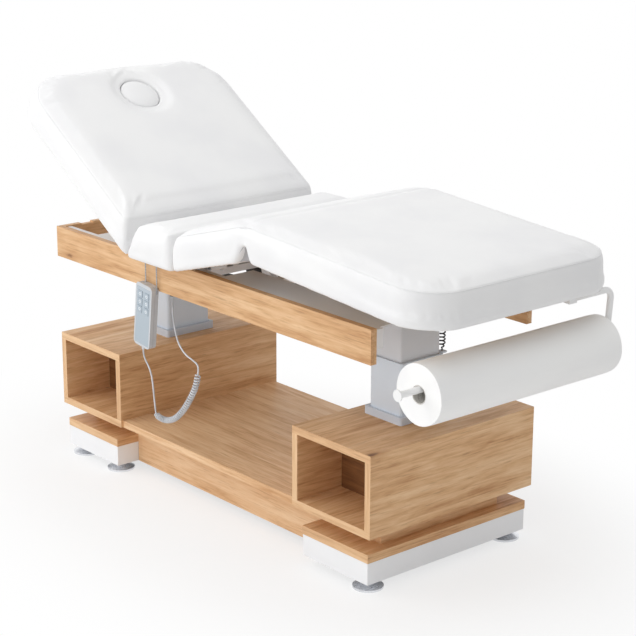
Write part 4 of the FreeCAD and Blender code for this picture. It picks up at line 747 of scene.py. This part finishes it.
def puff(thing, freedom):
    """Fill the pad as cloth under pressure; freedom says how far each point may give."""
    mesh = thing.data
    start, normals = places_of(mesh), normals_of(mesh)
    free = freedom(start)
    start = start - normals * (SHRINK * free)[:, None]
    move_to(mesh, start)
    held = thing.vertex_groups.new(name="held")
    level = np.round((1 - free) * GROUPS).astype(int)
    for hold in range(GROUPS + 1):
        held.add(np.nonzero(level == hold)[0].tolist(), hold / GROUPS, "REPLACE")
    cloth = thing.modifiers.new("cloth", "CLOTH")
    settings = cloth.settings
    settings.quality = 4
    settings.mass = 0.3
    settings.use_pressure = True
    settings.uniform_pressure_force = 4
    settings.effector_weights.gravity = 0
    settings.vertex_group_mass = "held"
    for number in range(1, CLOTH_FRAMES + 1):
        scene.frame_set(number)
    depsgraph = bpy.context.evaluated_depsgraph_get()
    end = places_of(thing.evaluated_get(depsgraph).data)
    thing.modifiers.remove(cloth)
    thing.vertex_groups.clear()
    scene.frame_set(1)
    moved = end - start
    reach = np.maximum(np.linalg.norm(moved, axis=1), 1e-9)
    share = CAP * np.tanh(reach / CAP) / reach * free
    move_to(mesh, start + moved * share[:, None])
    return thing


SHOULDER_LOW, SHOULDER_RISE, SHOULDER = 62, 50, 0.007


def shoulder(thing, height_of):
    """Round the upper edge off where the cover is stretched over the foam."""
    places = places_of(thing.data)
    height, flat = height_of(places, normals_of(thing.data))
    high = SHOULDER * np.clip((height - SHOULDER_LOW) / SHOULDER_RISE, 0, 1) ** 2
    move_to(thing.data, places - flat * high[:, None])
    return thing


FLAT_FROM = 0.3


def flat_of(section, normals):
    """The part of each normal that lies in the pad's plane, nothing where it faces up or down."""
    up = np.array(section.up)
    flat = normals - (normals @ up)[:, None] * up
    length = np.linalg.norm(flat, axis=1)
    return flat * np.where(length > FLAT_FROM, np.minimum(1, length), 0)[:, None]


def outline(thing, section, height, wanted, middle):
    """Points of the pad's outside at a height, round from the far corner of the start."""
    bm = bmesh.new()
    bm.from_mesh(thing.data)
    cut = bmesh.ops.bisect_plane(bm, geom=bm.verts[:] + bm.edges[:] + bm.faces[:],
                                 plane_co=section.world(0, 0, height), plane_no=section.up)
    found = [Vector(section.local(v.co)) for v in cut["geom_cut"]
             if isinstance(v, bmesh.types.BMVert)]
    bm.free()
    found = [p for p in found if wanted(p)]
    found.sort(key=lambda p: math.atan2(p.y, p.x - middle))
    return found


def softened(points, closed, rounds=4):
    """The line with each point drawn towards its neighbours."""
    for _ in range(rounds):
        count = len(points)
        changed = []
        for i, point in enumerate(points):
            if closed or 0 < i < count - 1:
                changed.append((points[i - 1] + point * 2 + points[(i + 1) % count]) / 4)
            else:
                changed.append(point)
        points = changed
    return points


SEAM_REACH = 0.005


def sew(thing, line, depth=0.0009):
    """Sink the cover into a narrow groove along a seam."""
    tree = KDTree(len(line))
    for k, point in enumerate(line):
        tree.insert(point, k)
    tree.balance()
    places, normals = places_of(thing.data), normals_of(thing.data)
    for k in range(len(places)):
        far = tree.find(places[k])[2]
        if far < SEAM_REACH:
            places[k] -= normals[k] * depth * (1 - (far / SEAM_REACH) ** 2)
    move_to(thing.data, places)


PIPING, VOXEL, PIPING_SIDES = 0.0011, 0.006, 6

# The back pad, with the hole for the face and a dish round it
DISH_DEPTH, DISH_REACH, DISH_FROM = 0.007, 46, 70
BACK_SEAM_HEIGHT, BACK_MIDDLE, BACK_SEAM_STEPS = 96, -360, 420
SEAM_OFF_HOLE, HOLE_EDGE_HEIGHT, BACK_DROP = 90, 40, 10
back_pad = remesh(merged("back_pad", ["back_cushion"]), VOXEL)


def hole_distance(p):
    return np.hypot(p[..., 0] - HOLE_X, p[..., 1])


def back_freedom(places):
    p = BACK.local(places)
    return step(p[:, 2], 22, 50) * step(hole_distance(p), HOLE_RADIUS + 4, HOLE_RADIUS + 34)


def back_height(places, normals):
    p = BACK.local(places)
    near_hole = hole_distance(p) < HOLE_RADIUS + 20
    return np.where(near_hole, HOLE_EDGE_HEIGHT, p[:, 2] - BACK_DROP), flat_of(BACK, normals)


shoulder(even_out(puff(back_pad, back_freedom), 2), back_height)
subdivide(back_pad)
dished = places_of(back_pad.data)
dish_local = BACK.local(dished)
dish_share = 1 - step(hole_distance(dish_local), HOLE_RADIUS, HOLE_RADIUS + DISH_REACH)
dish_share = dish_share * (dish_local[:, 2] > DISH_FROM)
move_to(back_pad.data, dished - np.array(BACK.up) * (DISH_DEPTH * dish_share)[:, None])
back_line = outline(back_pad, BACK, BACK_SEAM_HEIGHT,
                    lambda p: math.hypot(p.x - HOLE_X, p.y) > SEAM_OFF_HOLE, BACK_MIDDLE)
back_line = [BACK.world(*p) for p in back_line + back_line[:1]]
back_line = softened(even(back_line, BACK_SEAM_STEPS)[:-1], True)
sew(back_pad, back_line)
back_seam = tube("back_seam", back_line, PIPING, sides=PIPING_SIDES, closed=True)
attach(back_pad, "back")
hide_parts("back_cushion")
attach(back_seam, "back")

# The seat pad
SEAT_SEAM_HEIGHT, SEAT_MIDDLE, SEAT_SEAM_STEPS, SEAT_SEAM_DEPTH = 98, -170, 240, 0.0005
END_FREEDOM = 0.35
seat_pad = remesh(merged("seat_pad", ["seat_cushion"]), VOXEL)


def seat_freedom(places):
    p = SEAT.local(places)
    ends = step(p[:, 0], -330, -250) * (1 - step(p[:, 0], -110, -78))
    return step(p[:, 2], 12, 40) * (END_FREEDOM + (1 - END_FREEDOM) * ends)


shoulder(even_out(puff(seat_pad, seat_freedom), 2),
         lambda places, normals: (SEAT.local(places)[:, 2], flat_of(SEAT, normals)))
subdivide(seat_pad)
seat_line = outline(seat_pad, SEAT, SEAT_SEAM_HEIGHT, lambda p: True, SEAT_MIDDLE)
seat_line = [SEAT.world(*p) for p in seat_line + seat_line[:1]]
seat_line = softened(even(seat_line, SEAT_SEAM_STEPS)[:-1], True)
sew(seat_pad, seat_line, depth=SEAT_SEAM_DEPTH)
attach(seat_pad, "lift")
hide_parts("seat_cushion")

# The leg rest: thigh and leg pads under one cover, filled across the knee
FALL, FALL_START, FALL_REACH = 0.020, 100, 70
LEG_RISE, THIGH_DROP, NOTCH_TOP = 52.8, 10, 62
THIGH_SEAM_HEIGHT, LEG_SEAM_HEIGHT, REST_SEAM_STEPS, REST_SOFTENING = 108, 45.2, 640, 6
KNEE_REACH, KNEE_FROM, KNEE_ROUNDS = 45, 88, 8
KNEE_FILL = [box_in(THIGH, (345, 392), (-371, 371), (57, 103)),
             box_in(THIGH, (345, 388), (-362, 362), (62, 110)),
             box_in(THIGH, (350, 382), (-338, 338), (70, 116)),
             box_in(THIGH, (354, 376), (-300, 300), (70, 119.5))]
leg_rest = remesh(merged("leg_rest", ["thigh_cushion", "leg_cushion"], KNEE_FILL), VOXEL)


def rest_parts(places):
    """Places in the leg's and the thigh's frame, and each one's height in the frame it lies in."""
    leg, thigh = LEG.local(places), THIGH.local(places)
    on_leg = leg[:, 0] > 0
    height = np.where(on_leg, leg[:, 2] + LEG_RISE, thigh[:, 2] - THIGH_DROP)
    return leg, thigh, on_leg, height


def rest_freedom(places):
    leg, thigh, on_leg, height = rest_parts(places)
    ends = np.where(on_leg, 1, END_FREEDOM + (1 - END_FREEDOM) * step(thigh[:, 0], 20, 90))
    notch = np.where(height < NOTCH_TOP, step(np.abs(leg[:, 0]), 6, 60), 1)
    return step(height, 12, 40) * ends * notch


def rest_height(places, normals):
    _, _, on_leg, height = rest_parts(places)
    return height, np.where(on_leg[:, None], flat_of(LEG, normals), flat_of(THIGH, normals))


shoulder(even_out(puff(leg_rest, rest_freedom), 3), rest_height)
rest_places = places_of(leg_rest.data)
rest_thigh = THIGH.local(rest_places)
fall = FALL * np.clip((FALL_START - rest_thigh[:, 0]) / FALL_REACH, 0, 1) ** 2
fall = fall * step(rest_thigh[:, 2], 60, 118)
move_to(leg_rest.data, rest_places - np.array(THIGH.up) * fall[:, None])
rest_leg, _, _, rest_up = rest_parts(places_of(leg_rest.data))
knee_points = (np.abs(rest_leg[:, 0]) < KNEE_REACH) & (rest_up > KNEE_FROM)
knee_group = leg_rest.vertex_groups.new(name="knee")
knee_group.add(np.nonzero(knee_points)[0].tolist(), 1.0, "REPLACE")
knee_ease = leg_rest.modifiers.new("knee_ease", "SMOOTH")
knee_ease.iterations = KNEE_ROUNDS
knee_ease.vertex_group = "knee"
apply_all(leg_rest)
leg_rest.vertex_groups.clear()
subdivide(leg_rest)
thigh_line = outline(leg_rest, THIGH, THIGH_SEAM_HEIGHT,
                     lambda p: 45 < p.x < 350 and abs(p.y) > 250, 200)
leg_line = outline(leg_rest, LEG, LEG_SEAM_HEIGHT, lambda p: p.x > 12, 300)
near_thigh = sorted((p for p in thigh_line if p.y < 0), key=lambda p: p.x)
far_thigh = sorted((p for p in thigh_line if p.y > 0), key=lambda p: -p.x)
rest_line = ([THIGH.world(*p) for p in near_thigh] + [LEG.world(*p) for p in leg_line]
             + [THIGH.world(*p) for p in far_thigh])
rest_line = softened(even(rest_line, REST_SEAM_STEPS), False, REST_SOFTENING)
sew(leg_rest, rest_line)
leg_seam = tube("leg_seam", rest_line, PIPING, sides=PIPING_SIDES)
KNEE_SPAN = (tuple(LEG.world(-KNEE_REACH, 0, 0)), tuple(LEG.world(KNEE_REACH, 0, 0)))
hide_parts("thigh_cushion", "leg_cushion")

# Pleated gussets in the notch below the knee
PLEAT_COLUMNS, PLEAT_ROWS = 40, 18
PLEAT_WAVE, POCKET, POCKET_LIP, GUSSET_THICKNESS = 0.006, 0.034, 0.010, 0.0016


def gusset(name, side):
    """A folded sheet from the thigh pad's end to the leg pad's, drawn in as a pocket."""
    points, faces = [], []
    for row in range(PLEAT_ROWS + 1):
        t = row / PLEAT_ROWS
        from_thigh = THIGH.world(308 + 52 * t, 0, 14 + 43 * t)
        from_leg = LEG.world(30 - 24 * t, 0, -48.8 + 43 * t)
        for column in range(PLEAT_COLUMNS + 1):
            u = column / PLEAT_COLUMNS
            wave = math.sin(u * math.pi * 6 + 0.9 * math.sin(3 * t)) * (1 - 0.6 * t)
            sunk = POCKET * math.sin(math.pi * u) ** 0.6 * (1 - 0.4 * t) + POCKET_LIP
            point = from_thigh.lerp(from_leg, u)
            point.y = SHIFT.y + side * (HALF_WIDTH / 1000 - sunk - 0.003 + wave * PLEAT_WAVE)
            points.append(point)
    wide = PLEAT_COLUMNS + 1
    for row in range(PLEAT_ROWS):
        for column in range(PLEAT_COLUMNS):
            k = row * wide + column
            faces.append((k, k + 1, k + wide + 1, k + wide))
    thing = link(name, mesh_of(name, points, faces))
    made = thing.modifiers.new("thickness", "SOLIDIFY")
    made.thickness = GUSSET_THICKNESS
    return smooth(apply_all(thing))


gusset_near = gusset("knee_gusset_near", -1)
gusset_far = gusset("knee_gusset_far", 1)
for thing in (leg_rest, leg_seam, gusset_near, gusset_far):
    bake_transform(thing)

# The face hole's plug: a domed disc with a rounded rim, on its stem
hole = BACK.world(HOLE_X, 0, 0)
PLUG_PROFILE = [(0, 38), (54, 38), (55, 39), (55, 52), (62, 53.5), (64, 56), (64.6, 70),
                (64.6, 97), (64.1, 100.2), (62.6, 103.2), (60, 105.6), (56, 107.7), (50, 109.7),
                (42, 111.4), (30, 112.6), (15, 113.1), (0, 113.2)]
face_pad = lathe("face_pad", [(r / 1000, z / 1000) for r, z in PLUG_PROFILE], hole, BACK.up)
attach(face_pad, "plug")
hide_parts("face_plug")
for thing in (back_pad, seat_pad, leg_rest, face_pad, back_seam, leg_seam):
    smooth(dress(thing, white_leather))
# The gussets' grey is painted shade.
for thing in (gusset_near, gusset_far):
    smooth(dress(thing, gusset_painted_shade_leather))


# Paper roll
ROLL_CENTRE, ROLL_RADIUS = at(932.99, 0, 630.31), 0.083
ROLL_NEAR, ROLL_FAR, CORE_RADIUS = -0.322, 0.358, 0.0256
ROLL_SIDES, ROLL_STEPS, END_SHARES = 160, 40, (0.0, 0.25, 0.5, 0.75, 1.0)
LAYERS, LOOSE_EDGE = 0.0009, 0.0007


def wound_roll():
    """The wound paper with its loose edge, a step as high as a layer, lying on the outside."""
    points, faces = [], []
    stations = [(ROLL_NEAR, share) for share in END_SHARES]
    stations += [(ROLL_NEAR + (ROLL_FAR - ROLL_NEAR) * k / ROLL_STEPS, 1.0)
                 for k in range(1, ROLL_STEPS)]
    stations += [(ROLL_FAR, share) for share in reversed(END_SHARES)]
    rims = (len(END_SHARES) - 1, len(stations) - len(END_SHARES))
    for n, (y, share) in enumerate(stations):
        for k in range(ROLL_SIDES):
            a = 2 * math.pi * k / ROLL_SIDES
            outer = ROLL_RADIUS - LAYERS + LOOSE_EDGE * k / ROLL_SIDES
            outer -= LAYERS if n in rims else 0
            outer += 0.00025 * math.sin(5 * a + 9 * y) * math.sin(17 * y + 1)
            reach = CORE_RADIUS + (outer - CORE_RADIUS) * share
            dome = 0.0012 * math.sin(math.pi * share) * (1 if y < 0 else -1)
            points.append(Vector((ROLL_CENTRE.x + reach * math.cos(a), y + dome,
                                  ROLL_CENTRE.z + reach * math.sin(a))))
    count = len(stations)
    for n in range(count):
        m = (n + 1) % count
        for k in range(ROLL_SIDES):
            j = (k + 1) % ROLL_SIDES
            faces.append((n * ROLL_SIDES + k, m * ROLL_SIDES + k,
                          m * ROLL_SIDES + j, n * ROLL_SIDES + j))
    return smooth(link("wound_paper", mesh_of("wound_paper", points, faces)), 40)


wound_paper = wound_roll()
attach(wound_paper, "roll")
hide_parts("paper_roll")
dress(wound_paper, crepe)


# Floor, lights and world
def area_light(name, place, target, size, power):
    data = bpy.data.lights.new(name, "AREA")
    data.shape = "RECTANGLE"
    data.size, data.size_y = size
    data.energy = power
    thing = link(name, data)
    way = Vector(target) - Vector(place)
    thing.location = place
    thing.rotation_euler = way.to_track_quat("-Z", "Y").to_euler()
    return thing


# Each lamp's place, target, size and power
LAMPS = {"key": ((-2.6, -3.0, 3.6), (0, 0, 0.5), (3.4, 3.4), 80),
         "front": ((0.6, -4.4, 1.4), (0, 0, 0.5), (4.0, 2.2), 40),
         "top": ((0, 0.4, 4.2), (0, 0, 0.6), (3.6, 2.8), 34)}
for name, values in LAMPS.items():
    area_light(name, *values)

STUDIO_LEVEL, FLOOR_HALF = 0.58, 14
world = bpy.data.worlds.new("studio")
scene.world = world
world.use_nodes = True
tree = world.node_tree
background = tree.nodes["Background"]
rays = tree.nodes.new("ShaderNodeLightPath")
seen = tree.nodes.new("ShaderNodeMath")
seen.operation = "MAXIMUM"
also = tree.nodes.new("ShaderNodeMath")
also.operation = "MAXIMUM"
tree.links.new(rays.outputs["Is Camera Ray"], seen.inputs[0])
tree.links.new(rays.outputs["Is Glossy Ray"], seen.inputs[1])
tree.links.new(seen.outputs[0], also.inputs[0])
tree.links.new(rays.outputs["Is Transmission Ray"], also.inputs[1])
level = tree.nodes.new("ShaderNodeMapRange")
level.inputs["To Min"].default_value = STUDIO_LEVEL
level.inputs["To Max"].default_value = 1.0
tree.links.new(also.outputs[0], level.inputs["Value"])
tree.links.new(level.outputs["Result"], background.inputs["Strength"])
background.inputs["Color"].default_value = (1, 1, 1, 1)

FLOOR_CORNERS = [(x * FLOOR_HALF, y * FLOOR_HALF, 0)
                 for x, y in ((-1, -1), (1, -1), (1, 1), (-1, 1))]
floor = link("floor", mesh_of("floor", FLOOR_CORNERS, [(0, 1, 2, 3)]))
floor_look = Paint("floor", roughness=0.9, specular=0.1)
floor_look.color(floor_look.mix(floor_look.noise(floor_look.place(), 3, 2), (250, 250, 250),
                                (247, 247, 247)))
floor_tree = floor_look.tree
floor_seen = floor_tree.nodes.new("ShaderNodeLightPath")
# The floor glows white beyond this span of its own stretched distance, and less below the bed
GLOW_STRETCH, GLOW_FROM, GLOW_TO, GLOW_LEAST = (0.8, 1.2, 1), 0.7, 1.3, 0.68
floor_reach = floor_look.node("ShaderNodeVectorMath", {0: floor_look.place(scale=GLOW_STRETCH)},
                              operation="LENGTH").outputs["Value"]
floor_white = floor_look.span(floor_reach, GLOW_FROM, GLOW_TO, GLOW_LEAST, 1.0)
direct = floor_look.sum("MAXIMUM", floor_seen.outputs["Is Camera Ray"],
                        floor_seen.outputs["Is Glossy Ray"])
direct = floor_look.sum("MAXIMUM", direct, floor_seen.outputs["Is Transmission Ray"])
floor_share = floor_look.sum("MULTIPLY", direct, floor_white)
glow = floor_look.node("ShaderNodeEmission", {"Strength": 1.0})
blend_node = floor_tree.nodes.new("ShaderNodeMixShader")
floor_tree.links.new(floor_share, blend_node.inputs[0])
floor_tree.links.new(floor_look.shader.outputs[0], blend_node.inputs[1])
floor_tree.links.new(glow.outputs[0], blend_node.inputs[2])
floor_tree.links.new(blend_node.outputs[0], floor_tree.nodes["Material Output"].inputs["Surface"])
floor.data.materials.append(floor_look.material)

scene.view_settings.view_transform = "Standard"
